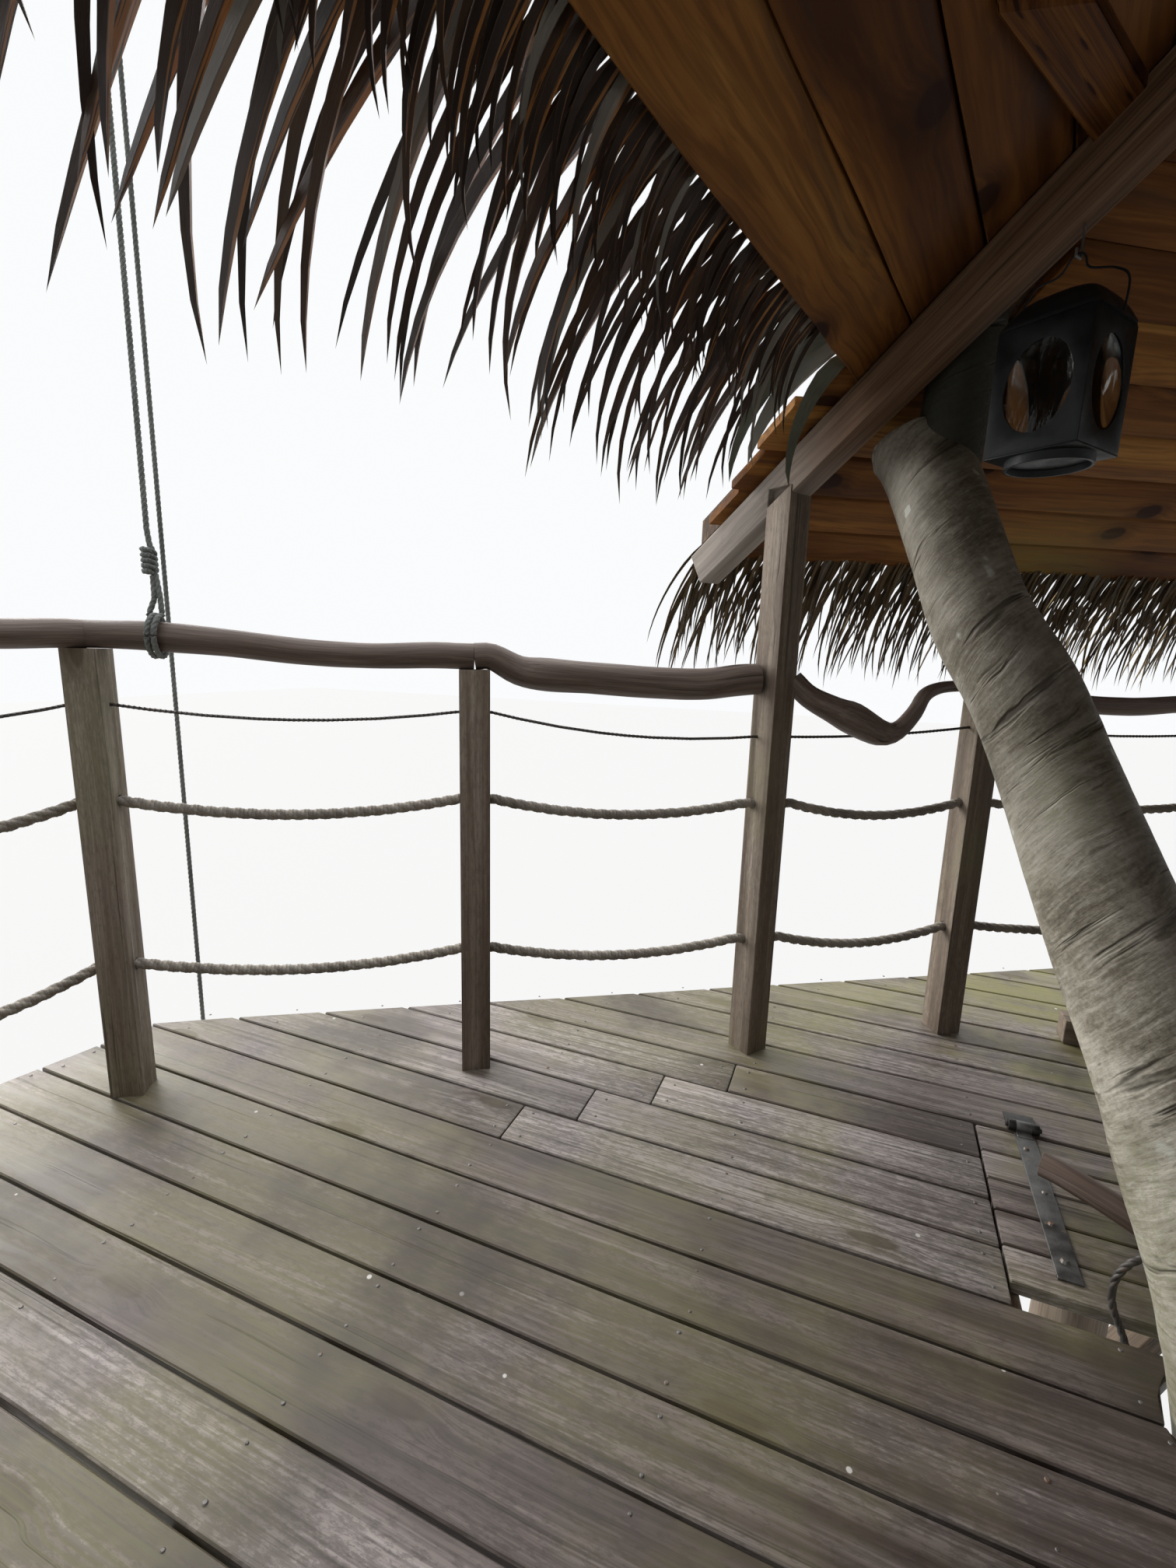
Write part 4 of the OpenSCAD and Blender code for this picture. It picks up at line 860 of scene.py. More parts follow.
# Log legs
leg = {"radius": 0.1, "alongBeam": 2.6, "beams": 1.95, "joist": 0.14, "beam": 0.2, "rings": 5}
leg["top"] = deckTop - deck["thick"] - leg["joist"] - leg["beam"]
plumb = ((0, 0, 1), (0, 0, 1))     # ends cut level


def logLeg(x, y):
    foot, seed = houseToWorld(x, y), random.uniform(0, 90)
    points = [(foot.x, foot.y, leg["top"] * n / (leg["rings"] - 1), leg["radius"] * slim)
              for n in range(leg["rings"])]
    return tube(points, 28, 0.09, up=(0, 1, 0), shape=crooked(0.028, 0.5, seed), ends=plumb, dome=0)


handTubes("logLegs", logWood, "house", "log_wood", (
    logLeg(x, y) for x in (-leg["alongBeam"], 0, leg["alongBeam"])
    for y in (-leg["beams"], 0, leg["beams"])), "support_legs")


# Trunk: living wood that leans through the deck, with a stub cut off under the rafter
trunk = {
    "size": 0.28, "stubCut": (0.45, 0.1, 0.9),
    "below": [
        (0.795, -0.176, -3.6, 1.56), (0.800, -0.186, -3.456, 1.34), (0.812, -0.206, -3.096, 1.25),
        (0.846, -0.276, -2.16, 1.15), (0.906, -0.396, -1.224, 1.09), (0.992, -0.546, -0.504, 1.03)],
    "above": [
        (1.076, -0.640, 0, 1), (1.110, -0.680, 0.15, 0.97), (1.140, -0.722, 0.25, 0.95),
        (1.182, -0.775, 0.36, 0.93), (1.230, -0.836, 0.5, 0.9), (1.320, -0.970, 0.73, 0.84),
        (1.406, -1.106, 0.965, 0.79), (1.482, -1.166, 1.139, 0.77), (1.570, -1.226, 1.289, 0.74),
        (1.636, -1.296, 1.467, 0.72), (1.690, -1.380, 1.62, 0.74), (1.728, -1.430, 1.708, 0.74),
        (*stubEnd[:2], stubEnd[2] - deckTop, 0.71)],
    "limb": [
        (1.664, -1.390, 1.55, 0.46), (1.668, -1.395, 1.66, 0.55), (1.664, -1.378, 1.78, 0.55),
        (1.656, -1.356, 1.90, 0.54), (1.650, -1.360, 2.04, 0.53), (1.636, -1.460, 2.24, 0.52),
        (1.608, -1.660, 2.45, 0.5), (1.590, -1.780, 2.70, 0.46), (1.586, -1.820, 2.90, 0.42)]}


def sized(points, size):
    return [(x, y, deckTop + z, share * size / 2) for x, y, z, share in points]


def trunkShape(angle, run, total):
    x, y = math.cos(angle), math.sin(angle)
    swell = 0.03 * noise.noise(Vector((x, y, run * 1.6)))
    ridge = 0.012 * noise.noise(Vector((x * 2.5, y * 2.5, run * 5 + 4)))
    wrinkle = 0.006 * noise.noise(Vector((x * 1.5, y * 1.5, run * 42)))
    ragged = 0.6 + 0.8 * noise.noise(Vector((x * 2.2, y * 2.2, 7)))
    callus = 0.14 * ragged * math.exp(-((total - run - 0.03) / 0.022) ** 2) if total > 4.6 else 0
    return 0.975 + swell + ridge + wrinkle + callus


handTubes("trunk", bark, "house", "bark", [tube(
    sized(trunk["below"] + trunk["above"], trunk["size"]), 64, 0.02, up=(0, 1, 0), shape=trunkShape,
    ends=((0, 0, 1), trunk["stubCut"]), dome=-0.18)], "trunk")
handTubes("trunkLimb", shadeBark, "house", "bark", [tube(
    sized(trunk["limb"], trunk["size"]), 40, 0.02, up=(0, 1, 0), shape=trunkShape, ends=plumb, dome=0.05)])
say("trunk")


# Rail: stations in order round the terrace, as [x, y, way of the rope, roof post]
def railStations():
    x, y, cx, cy = rail["x"], rail["y"], rail["cornerX"], rail["cornerY"]
    rx, ry = roof["ring"] * math.sin(halfTurn), apothem
    side = y - cy
    far = [(x, -side, -90, 0), (x - cx, -y, 180, 0), (x - cx - rail["bay"], -y, 180, 0), (rx, -ry, 180, 1),
           (rail["middle"], -y, 180, 0), (-rx, -ry, 180, 1), (-x + cx + rail["bay"], -y, 180, 0),
           (-x + cx, -y, 180, 0)]
    right = [(-x, share * side, 90, 0) for share in (-1, -0.5, 0, 0.5)]
    near = [(-x, side, 90, 0), (-x + cx, y, 0, 0), (-x + cx + rail["bay"], y, 0, 0), (-rx, ry, 0, 1),
            (0, y, 0, 0), (rx, ry, 0, 1), (x - cx - rail["bay"], y, 0, 0), (x - cx, y, 0, 0)]
    left = [(x, share * side, -90, 0) for share in (1, 0.5, 0, -0.5)]
    return far + right + near + left


stations = railStations()
postTrim = [0.020, 0.026, -0.004, 0, -0.037]


def station(i):
    return stations[i % len(stations)]


def stationAt(i):
    return Vector((station(i)[0], station(i)[1], 0))


def trimmed(values, i):
    i %= len(stations)
    return values[i] if i < len(values) else 0


def spanWay(i):
    return (stationAt(i + 1) - stationAt(i)).normalized()


# Bends of the five branches that show: share of the bay, rise, way inward, thickness
bends = [
    [(0.4, 0.003, 0, 1), (0.7, -0.004, 0, 0.98)],
    [(0.17, 0.004, 0, 1.04), (0.36, -0.002, 0, 1), (0.55, -0.014, 0, 0.96), (0.72, -0.013, 0, 0.94),
     (0.89, -0.003, 0, 1)],
    [(0.14, -0.028, 0, 1.15), (0.23, -0.034, 0, 1.3), (0.37, -0.034, 0, 1.26), (0.56, -0.034, 0, 1.28),
     (0.74, -0.03, 0, 1.28), (0.87, -0.01, 0, 1.3)],
    [(0.14, -0.044, 0.02, 0.94), (0.24, -0.08, 0.045, 1.13), (0.32, -0.102, 0.055, 1.36),
     (0.44, -0.139, 0.062, 1.14), (0.52, -0.132, 0.064, 0.78), (0.6, -0.08, 0.056, 0.66),
     (0.65, -0.031, 0.045, 0.6), (0.74, -0.008, 0.026, 0.52), (0.86, -0.001, 0.008, 0.48)],
    [(0.25, -0.05, 0, 0.8), (0.42, -0.06, 0, 0.84), (0.58, -0.05, 0, 0.8), (0.78, -0.036, 0, 0.82)]]
endSizes = {2: (1.02, 1.25), 3: (0.88, 0.5), 4: (0.66, 0.8)}


def bendList(i):
    if i < len(bends):
        return bends[i]
    wave = lambda turn: math.sin(math.radians(turn))
    return [(f, 0.014 * wave(137 * i + 300 * f), 0.014 * wave(61 * i + 210 * f),
             1 + 0.08 * wave(97 * i + 400 * f))
            for f in (0.25, 0.5, 0.75)]


def branchPoints(i):
    sizes = [rail["branch"] * share for share in endSizes.get(i, (1, 1))]
    seats = []
    for n, size in ((i, sizes[0]), (i + 1, sizes[1])):
        onTop = trimmed(postTrim, n) + rail["seatGap"] + size * branchDrop
        top = rail["postTop"] + (-rail["butt"] if station(n)[3] else onTop)
        seats.append(stationAt(n) + Vector((0, 0, top)))
    way = spanWay(i)
    inward = Vector((way.y, -way.x, 0))
    reach = rail["postSide"] / 2 * (math.cos(halfTurn) + math.sin(halfTurn)) + rail["buttGap"]
    flat = rail["postSide"] / 2 * (abs(way.x) + abs(way.y)) + rail["flatPast"]
    first = [seats[0] + way * reach] if station(i)[3] else [
        seats[0] + (way + spanWay(i - 1)).normalized() * rail["meetGap"], seats[0] + way * flat]
    last = [seats[1] - way * reach] if station(i + 1)[3] else [
        seats[1] - way * flat, seats[1] - (way + spanWay(i + 1)).normalized() * rail["meetGap"]]
    middle = [seats[0] + (seats[1] - seats[0]) * f + Vector((0, 0, rise)) + inward * side
              for f, rise, side, share in bendList(i)]
    radii = [sizes[0] / 2] * len(first) + [rail["branch"] * bend[3] / 2 for bend in bendList(i)]
    radii += [sizes[1] / 2] * len(last)
    return [(*houseToWorld(*p), r * slim) for p, r in zip(first + middle + last, radii)]


def buildBranches(name, numbers, node):
    tubes = [tube(branchPoints(i), 28, 0.018, shape=crooked(0.05, 0.16, i * 7.3), dome=0.06)
             for i in numbers]
    handTubes(name, branchWood, "house", "branch_wood", tubes, node)


for i, place in enumerate(("corner", "left", "middle", "crook", "right")):
    buildBranches("handrail" + place.capitalize(), [i], "handrail_" + place)
buildBranches("handrailRest", range(5, len(stations)), "handrail_rest")
say("handrail")


# Ropes and cable through the posts
def ropeLine(height, trims, size, sag):
    points = []
    for i in range(len(stations)):
        reach = []
        for n in (i, i + 1):
            way = math.radians(station(n)[2])
            direction = Vector((math.cos(way), math.sin(way), 0))
            onRoofPost = rail["postSide"] / 2 / math.cos(halfTurn) + size
            reach.append(direction * (onRoofPost if station(n)[3] else rail["postSide"] / 2 + 0.004))
        a = stationAt(i) + Vector((0, 0, height + trimmed(trims, i)))
        b = stationAt(i + 1) + Vector((0, 0, height + trimmed(trims, i + 1)))
        start, end = a + reach[0], b - reach[1]
        points += [a - reach[0], a, start]
        slack = 0.3 if i == 3 and size < 0.01 else 1    # the cable is tighter under the crook
        points += [start.lerp(end, f) - Vector((0, 0, 4 * f * (1 - f) * slack * sag))
                   for f in (0.1, 0.25, 0.4, 0.5, 0.6, 0.75, 0.9)]
    return [houseToWorld(*p) for p in points]


def lineObject(name, points, closed=False):
    curve = bpy.data.curves.new(name, "CURVE")
    curve.dimensions = "3D"
    spline = curve.splines.new("POLY")
    spline.points.add(len(points) - 1)
    spline.points.foreach_set("co", np.ravel([(*p, 1) for p in points]))
    spline.use_cyclic_u = closed
    obj = bpy.data.objects.new(name, curve)
    bpy.context.collection.objects.link(obj)
    return obj


def ropeRecipe(name, finish, strands):
    sheet = Recipe(name, {"Radius": 0.015, "Lay": 0.1, "Step": 0.01, "Groove": 0.24, "Sides": 18})
    line = sheet.add("GeometryNodeResampleCurve", {"mode": "LENGTH"},
                     {"Curve": sheet.given("Geometry"), "Length": sheet.given("Step")})
    line = sheet.add("GeometryNodeSetCurveNormal", {"mode": "Z_UP"}, {"Curve": line})
    run = sheet.add("GeometryNodeSplineParameter", {}, {}, "Length")
    line = sheet.add("GeometryNodeSetCurveTilt", {},
                     {"Curve": line, "Tilt": run * 2 * math.pi / sheet.given("Lay")})
    ring = sheet.add("GeometryNodeCurvePrimitiveCircle", {"mode": "RADIUS"}, {
        "Resolution": sheet.given("Sides"), "Radius": sheet.given("Radius")})
    share = sheet.add("GeometryNodeSplineParameter", {}, {}, "Factor")
    lobe = (share * math.pi * strands).maths("SINE").maths("ABSOLUTE")
    keep = 1 - sheet.given("Groove") * (1 - lobe)
    place = sheet.add("GeometryNodeInputPosition")
    shaped = sheet.add("GeometryNodeSetPosition", {}, {
        "Geometry": ring, "Position": sheet.add("ShaderNodeVectorMath", {"operation": "SCALE"},
                                                {0: place, "Scale": keep})})
    swept = sheet.add("GeometryNodeCurveToMesh", {},
                      {"Curve": line, "Profile Curve": shaped, "Fill Caps": True})
    sheet.close(swept, finish)
    return sheet


ropes = {"upper": (0.79, [0.01, 0.01, 0.007, -0.01, -0.02], 0.03, 0.04), "lower": (0.362, [], 0.03, 0.04),
         "cable": (1.02, [0.022, 0.022, 0.014, -0.045, -0.015], 0.009, 0.03)}
threeStrand = ropeRecipe("threeStrandRope", hemp, 3)
for name in ("upper", "lower"):
    line = lineObject(name + "Line", ropeLine(*ropes[name]), True)
    hand(threeStrand.run(line, name + "Rope", hemp), "house", "rope", name + "_rope")
sixStrand = ropeRecipe("sixStrandCable", cableSteel, 6)
hand(sixStrand.run(lineObject("cableLine", ropeLine(*ropes["cable"]), True), "railCable", cableSteel, {
    "Radius": 0.0045, "Lay": 0.07, "Step": 0.012, "Groove": 0.16, "Sides": 12}), "house", "steel_cable",
    "rail_cable")
say("ropes")

# Ceiling boards, parallel to the eaves
# Edges are distances from the middle; "past" is how far the far side's boards run over the hip
ceiling = {"first": 0.05, "short": 2.1257, "long": 2.6417, "pitch": 0.1155, "shortPitch": 0.13,
           "gap": 0.0065, "taper": 0.012, "past": [-0.02, 0.05, 0.09, 0.13, 0.12], "hole": (0.605, 0.79),
           "holeRows": (5, 6), "shadeGapRows": (4,)}
patchPlank = {"outer": ((-0.2, 1.815), (-0.84, 1.675)), "inner": ((-0.35, 1.715), (-0.79, 1.615)),
              "thick": 0.02}


def ceilingEdges(k):               # board edges from the eave inwards; short sides have uneven boards
    even = k in (0, 4)
    outer = ceiling["long"] if even else ceiling["short"]
    edges = []
    while outer > ceiling["first"] + 0.05:
        wave = 0.008 * math.sin(len(edges) * 2.2 - 1.2)
        width = ceiling["pitch"] if even else ceiling["shortPitch"] + wave
        edges.append((max(ceiling["first"], outer - width + ceiling["gap"]), outer))
        outer -= width
    return edges


def buildCeiling(k, batch, nails):
    rise = roof["boards"] / math.cos(roof["pitch"])
    for n, (low, high) in enumerate(ceilingEdges(k)):
        def place(u, v, w):
            if n == 0 and v > high - 0.012:    # the outer edge keeps the tree's own line
                sweep = noise.noise(Vector((u * 2.6, k * 3.7, 0)))
                v += 0.016 * sweep + 0.005 * noise.noise(Vector((u * 9, k * 3.7, 4)))
            return onSide(k, u, v - ceiling["taper"] * (u + 0.4) * (n < 4 and k == 1), ceilingUnder(v) - w)

        def half(v):
            return v * math.tan(halfTurn) - 0.004
        past = ceiling["past"][n] if k == 0 and n < len(ceiling["past"]) else 0
        parts = [(lambda v: -half(v), lambda v: half(v) + past + 0.02 * (past > 0) * math.sin(v * 60))]
        if k == 0 and n in ceiling["holeRows"]:    # the limb goes up through a rough hole
            s0, s1 = ceiling["hole"]
            parts = [(parts[0][0], lambda v: s0 + 0.015 * math.sin(v * 40)),
                     (lambda v: s1 + 0.01 * math.sin(v * 50), parts[0][1])]
        # painted shade: the board in these rows stops short, and the dark thatch core shows through where
        # the real boards lie in shadow
        if k == 1 and n in ceiling["shadeGapRows"]:
            parts = [(parts[0][0], lambda v: -0.72 + 0.01 * n)]
        for first, last in parts:
            plank(batch, lambda v: (first(v), last(v)), low, high, rise, place, step=0.12, wobble=0.004)
        nailed = half((low + high) / 2) - 0.046 - 0.004 * n
        nails += [onSide(k, side * nailed, v, ceilingUnder(v)) for side in (-1, 1)
                  for v in (low + 0.03, high - 0.03) if nailed > 0.15]


ceilingNails = []
for name, numbers, node in (("ceilingLeft", [1], "ceiling_left"), ("ceilingFar", [0], "ceiling_far"),
                            ("ceilingRest", range(2, 8), "ceiling_rest")):
    batch = Batch()
    for k in numbers:
        buildCeiling(k, batch, ceilingNails)
    if numbers == [1]:                 # a slanting plank nailed under the boards, beside the short board whose gap is painted shade
        (s0, a0), (s1, a1) = patchPlank["outer"]
        (t0, b0), (t1, b1) = patchPlank["inner"]

        def slanting(u, v, w):
            s, a = s0 + (s1 - s0) * u, a0 + (a1 - a0) * u
            s, a = s + (t0 + (t1 - t0) * u - s) * v, a + (b0 + (b1 - b0) * u - a) * v
            return onSide(1, s, a, ceilingUnder(a) - 0.001 + w)
        plank(batch, lambda v: (0.0, 1.0), 0.0, 1.0, patchPlank["thick"], slanting, step=0.15, wobble=0.004,
              edge=0.02, tone=0.1)
    hand(batch.build(name, ceilingWood), "house", "ceiling_wood", node)
say("ceiling")

# Thatch: a dark core under layers of palm leaves, and leaves that hang from the eaves
thatch = {"coreShort": 2.125, "coreLong": 2.63, "rows": 0.13, "spacing": 0.045, "leaf": 0.72,
          "bareFrom": -0.6, "capTop": 7.12, "coreThick": 0.07, "capLeaves": 150, "hipStep": 0.028,
          "hipFrom": 0.25, "hipYaw": 0.42}
longSides, shortSides = (0, 4), (1, 2, 3, 5, 6, 7)


def buildCore():
    batch = Batch()
    lift = roof["boards"] / math.cos(roof["pitch"]) + 0.002
    slab = [[0, 1, 2, 3], [7, 6, 5, 4], [0, 4, 5, 1], [1, 5, 6, 2], [2, 6, 7, 3], [3, 7, 4, 0]]
    for k in range(8):
        a0, a1 = 0.03, thatch["coreLong"] if k in longSides else thatch["coreShort"]
        h0, h1 = (a * math.tan(halfTurn) - 0.001 for a in (a0, a1))
        corners = ((-h0, a0), (h0, a0), (h1, a1), (-h1, a1))
        low = [onSide(k, s, a, ceilingUnder(a) + lift) for s, a in corners]
        high = [p + Vector((0, 0, thatch["coreThick"])) for p in low]
        batch.add(low + high, slab, low + high)
    return batch.build("thatchCore", thatchCore, False)


def leafRecipe(finish):
    sheet = Recipe("palmLeaves", {"Length": 0.62, "Width": 0.034, "Fold": 0.55, "Bend": 1.3, "Seed": 11,
                                  "Sway": 0.05})
    across, along = 3, 10
    blades = []
    for bend, twist in ((0.85, 0.12), (0.97, -0.1), (1.06, 0.06), (1.18, -0.05)):
        grid = sheet.add("GeometryNodeMeshGrid", {},
                         {"Size X": 1.0, "Size Y": 1.0, "Vertices X": across, "Vertices Y": along})
        x, y, z = sheet.split(sheet.add("GeometryNodeInputPosition"))
        t = y + 0.5
        width = sheet.given("Width") * ((1 - t) ** 0.55) * (t * 3 + 0.5).maths("MINIMUM", 1.0)
        curl = sheet.given("Bend") * bend
        flatX, lift = x * width, x.maths("ABSOLUTE") * width * sheet.given("Fold") * 2
        turnAngle = t * twist * 3
        sideX = flatX * turnAngle.maths("COSINE") - lift * turnAngle.maths("SINE")
        sideZ = flatX * turnAngle.maths("SINE") + lift * turnAngle.maths("COSINE")
        arc = t * curl
        lineY = sheet.given("Length") / curl * arc.maths("SINE") + sideZ * arc.maths("SINE")
        lineZ = sheet.given("Length") / curl * (arc.maths("COSINE") - 1) + sideZ * arc.maths("COSINE")
        marked = sheet.store(sheet.store(grid, "leafAlong", t), "leafAcross", x * 2)
        blades.append(sheet.add("GeometryNodeSetPosition", {},
                                {"Geometry": marked, "Position": sheet.join(sideX, lineY, lineZ)}))
    choices = sheet.add("GeometryNodeGeometryToInstance", {}, {0: blades[::-1]})
    seed = sheet.given("Seed")
    sway = sheet.given("Sway")
    jitter = sheet.chance(sheet.join(sway * -1.4, -0.4, sway * -1), sheet.join(sway * 1.4, 0.4, sway), seed,
                          "FLOAT_VECTOR")
    turned = sheet.add("FunctionNodeRotateRotation", {"rotation_space": "LOCAL"}, {
        "Rotation": sheet.named("aim", "FLOAT_VECTOR"), "Rotate By": jitter})
    size = sheet.named("size") * sheet.chance(0.78, 1.12, seed + 1)
    placed = sheet.add("GeometryNodeInstanceOnPoints", {}, {
        "Points": sheet.given("Geometry"), "Instance": choices, "Pick Instance": True,
        "Instance Index": sheet.chance(0, 3, seed + 2, "INT"), "Rotation": turned,
        "Scale": sheet.join(size * 0.5 + 0.5, size, size)})
    toned = sheet.store(placed, "leafTone", sheet.chance(0.0, 1.0, seed + 3), "INSTANCE")
    sheet.close(toned, finish)
    return sheet


leafTree = leafRecipe(leafSkin)


def leafAim(heading, down):        # turn of a leaf that points along heading, and down from level
    way = Vector((math.cos(heading) * math.cos(down), math.sin(heading) * math.cos(down), -math.sin(down)))
    return turnTo(Vector((math.sin(heading), -math.cos(heading), 0)), way)


def layLeaves(name, skin, points, aims, sizes, values, *nodes):
    source = pointMesh(name + "Points", points, {"aim": aims}, {"size": sizes})
    piece = leafTree.run(source, name, skin, values)
    hand(piece, "house", "thatch", *nodes)
    print(name, len(points), "leaves", len(piece.data.polygons), "faces")


def leafPoints(k, rows, pitchDown, yaw, size, spacing, lift):
    points, aims, sizes = [], [], []
    for a in rows:
        half = a * math.tan(halfTurn) - 0.02
        count = max(1, int(2 * half / spacing))
        for n in range(count):
            s = -half + 2 * half * (n + 0.5 + random.uniform(-0.3, 0.3)) / count
            if k == 1 and size < 1 and s < thatch["bareFrom"]:
                continue
            down = pitchDown + random.uniform(-0.07, 0.07)
            turnOut = yaw + 0.1 * s / max(half, 0.2) + random.uniform(-0.05, 0.05)
            outBy, upBy = random.uniform(-0.012, 0.006), random.uniform(-0.006, 0.01)
            points.append(onSide(k, s, a + outBy, ceilingUnder(a) + lift + upBy))
            aims.append(leafAim(sideAngle(k) + turnOut, down))
            sizes.append(size)
    return points, aims, sizes


def growLeaves(name, groups, skin, values, *nodes):
    points, aims, sizes = [], [], []
    for group in groups:
        more = leafPoints(*group)
        points, aims, sizes = points + more[0], aims + more[1], sizes + more[2]
    layLeaves(name, skin, points, aims, sizes, values, *nodes)


slopeDown = roof["pitch"]
hand(buildCore(), "house", "thatch", "thatch_left", "thatch_far", "thatch_rest")
for name, numbers, edge in (("roofLeavesLong", longSides, ceiling["long"]),
                            ("roofLeavesShort", shortSides, ceiling["short"])):
    lastRow = edge - 0.66 * thatch["leaf"]
    topRows = [lastRow - thatch["rows"] * n for n in range(int((lastRow - 0.12) / thatch["rows"]))]
    groups = [(k, topRows, slopeDown - 0.08, 0, 1, thatch["spacing"], 0.09) for k in numbers]
    growLeaves(name, groups, roofSkin, {
        "Length": thatch["leaf"], "Width": 0.058, "Bend": 0.09, "Fold": 0.3, "Seed": 21, "Sway": 0.045})
# Rows at the eaves: how far out, lift, extra slope down, leaf size, spacing
edgeRows = {"long": [(-0.02, 0.03, 0.45, 0.55, 0.01), (0.0, 0.03, 0.4, 0.8, 0.014),
                     (0.01, 0.045, 0.25, 0.9, 0.018)],
            "short": [(0.004, 0.034, 0.05, 0.45, 0.011), (0.0, 0.03, -0.1, 0.84, 0.03),
                      (0.004, 0.045, -0.22, 0.95, 0.04)]}
eaveLeaves = {"long": {"Width": 0.022, "Length": 0.5, "Bend": 0.55, "Seed": 5},
              "short": {"Width": 0.027, "Length": 0.5, "Bend": 1.0, "Seed": 5}}
for kind, numbers, skin, yaw, nodes in (("long", longSides, paleSkin, 0.75, ["leaf_fringe"]),
                                        ("short", shortSides, leafSkin, 0.02, [])):
    groups = [(k, [ceiling[kind] + out], slopeDown + down, yaw, size, spacing, lift)
              for k in numbers for out, lift, down, size, spacing in edgeRows[kind]]
    growLeaves("eaveLeaves" + kind.capitalize(), groups, skin, eaveLeaves[kind], *nodes)
bigLeaves = [(-0.66, 0.05, -0.22, 0.95), (-0.71, 0.0, -0.12, 0.85), (-0.79, 0.1, 0.1, 0.8)]
layLeaves("cornerLeaves", greySkin,    # broad grey leaves that hang by the corner
          [onSide(1, leaf[0], ceiling["short"], ceilingUnder(ceiling["short"]) + 0.03)
           for leaf in bigLeaves],
          [leafAim(sideAngle(1) + yaw, slopeDown + down) for s, yaw, down, size in bigLeaves],
          [leaf[3] for leaf in bigLeaves],
          {"Length": 0.36, "Width": 0.085, "Bend": 0.9, "Fold": 0.45, "Seed": 2, "Sway": 0.01})
hipPoints, hipAims = [], []
for k in range(8):                     # leaves laid over the hips
    hip = sideAngle(k + 0.5)
    reach = (ceiling["short"] - 0.42 * thatch["leaf"]) / math.cos(halfTurn)
    for n in range(int(reach / thatch["hipStep"])):
        r = thatch["hipFrom"] + n * thatch["hipStep"] * (reach - thatch["hipFrom"]) / reach
        yaw = random.uniform(-thatch["hipYaw"], thatch["hipYaw"])
        pitch = math.atan(planeSlope * math.cos(halfTurn - min(abs(yaw), halfTurn))) - 0.06
        height = deckTop + ceilingUnder(r * math.cos(halfTurn)) + random.uniform(0.085, 0.11)
        hipPoints.append(Vector((r * math.cos(hip), r * math.sin(hip), height)))
        hipAims.append(leafAim(hip + yaw, pitch))
layLeaves("hipLeaves", roofSkin, hipPoints, hipAims, [1] * len(hipPoints),
          {"Length": 0.6, "Width": 0.06, "Bend": 0.1, "Fold": 0.3, "Seed": 41, "Sway": 0.04})
capPoints, capAims = [], []
for n in range(thatch["capLeaves"]):   # the cap: a bundle of leaves laid over the hub
    share = n / thatch["capLeaves"]
    angle, r = n * 2.4, 0.05 + 0.3 * share
    capPoints.append(Vector((0.6 * r * math.cos(angle), 0.6 * r * math.sin(angle),
                             thatch["capTop"] - 0.03 - 0.38 * r)))
    capAims.append(leafAim(angle, math.atan(0.45 + 0.3 * share)))
layLeaves("capLeaves", roofSkin, capPoints, capAims, [1] * len(capPoints),
          {"Length": 0.5, "Width": 0.06, "Bend": 0.3, "Fold": 0.3, "Seed": 31, "Sway": 0.06}, "thatch_cap")
say("thatch")


# Hatch
hatch = {"box": (0.812, 1.415, -1.334, -0.826), "boards": 5, "gap": 0.004, "strapInset": 0.11, "grip": [
    (1.319, -1.106, 0.085, 0.0265), (1.290, -1.090, 0.085, 0.0265), (1.246, -1.066, 0.080, 0.027),
    (1.166, -1.026, 0.066, 0.0275), (1.0875, -0.992, 0.0365, 0.0265), (1.0225, -0.968, 0.0265, 0.0262),
    (0.9625, -0.952, 0.0258, 0.025)]}
lidBatch = Batch()
x0, x1, y0, y1 = hatch["box"]
for n in range(hatch["boards"]):
    width = (y1 - y0) / hatch["boards"]
    low, high = y0 + n * width + hatch["gap"] / 2, y0 + (n + 1) * width - hatch["gap"] / 2
    plank(lidBatch, lambda v: (x0, x1), low, high, deck["thick"], deckPlace, step=0.1, wobble=0.0015)
hand(lidBatch.build("hatchBoards", deckWood), "hatch", "deck_wood", "hatch_lid")
soften("hatch_straps", strapIron, "hatch", "iron", 0.0008)
soften("hinge_leaves", barrelIron, "house", "iron", 0.0008)
soften("hinge_pins", barrelIron, "house", "iron", 0.0012)
grip = tube([(x, y, deckTop + z, r) for x, y, z, r in hatch["grip"]], 32, 0.008,
            shape=crooked(0.04, 0.1, 3.7), dome=0.1)
handTubes("hatchGrip", branchWood, "hatch", "branch_wood", [grip], "hatch_grip")
strapCentres = [x0 + hatch["strapInset"], x1 - hatch["strapInset"]]
boltRows = ((-1.27, 0.006), (-1.12, -0.004), (-1.02, 0.003), (-0.92, 0.0))    # place along a strap, offset
bolts = [(x + side, y, deckTop + 0.005) for x in strapCentres for y, side in boltRows]
boltPoints = pointMesh("strapBoltPoints", bolts, {"facing": [(0, 0, 0)] * len(bolts)})
hand(nailTree.run(boltPoints, "strapBolts", nailIron, {"Radius": 0.0085, "Height": 0.005, "Seed": 9}),
     "hatch", "iron")
say("hatch")

# Lantern
lantern = {"out": 1.855, "half": 0.087, "dome": 0.06, "neck": 0.062, "wire": 0.002, "drop": 0.058}
lantern["pivot"] = rafterUnder(lantern["out"]) - lantern["drop"]
lantern["top"] = lantern["pivot"] - lantern["neck"] - lantern["dome"]
lanternTurn = houseTurn - math.pi / 2 + halfTurn


def atLantern(x, y, z):
    c, s = math.cos(lanternTurn), math.sin(lanternTurn)
    x += lantern["out"]
    return Vector((x * c - y * s, x * s + y * c, deckTop + z))


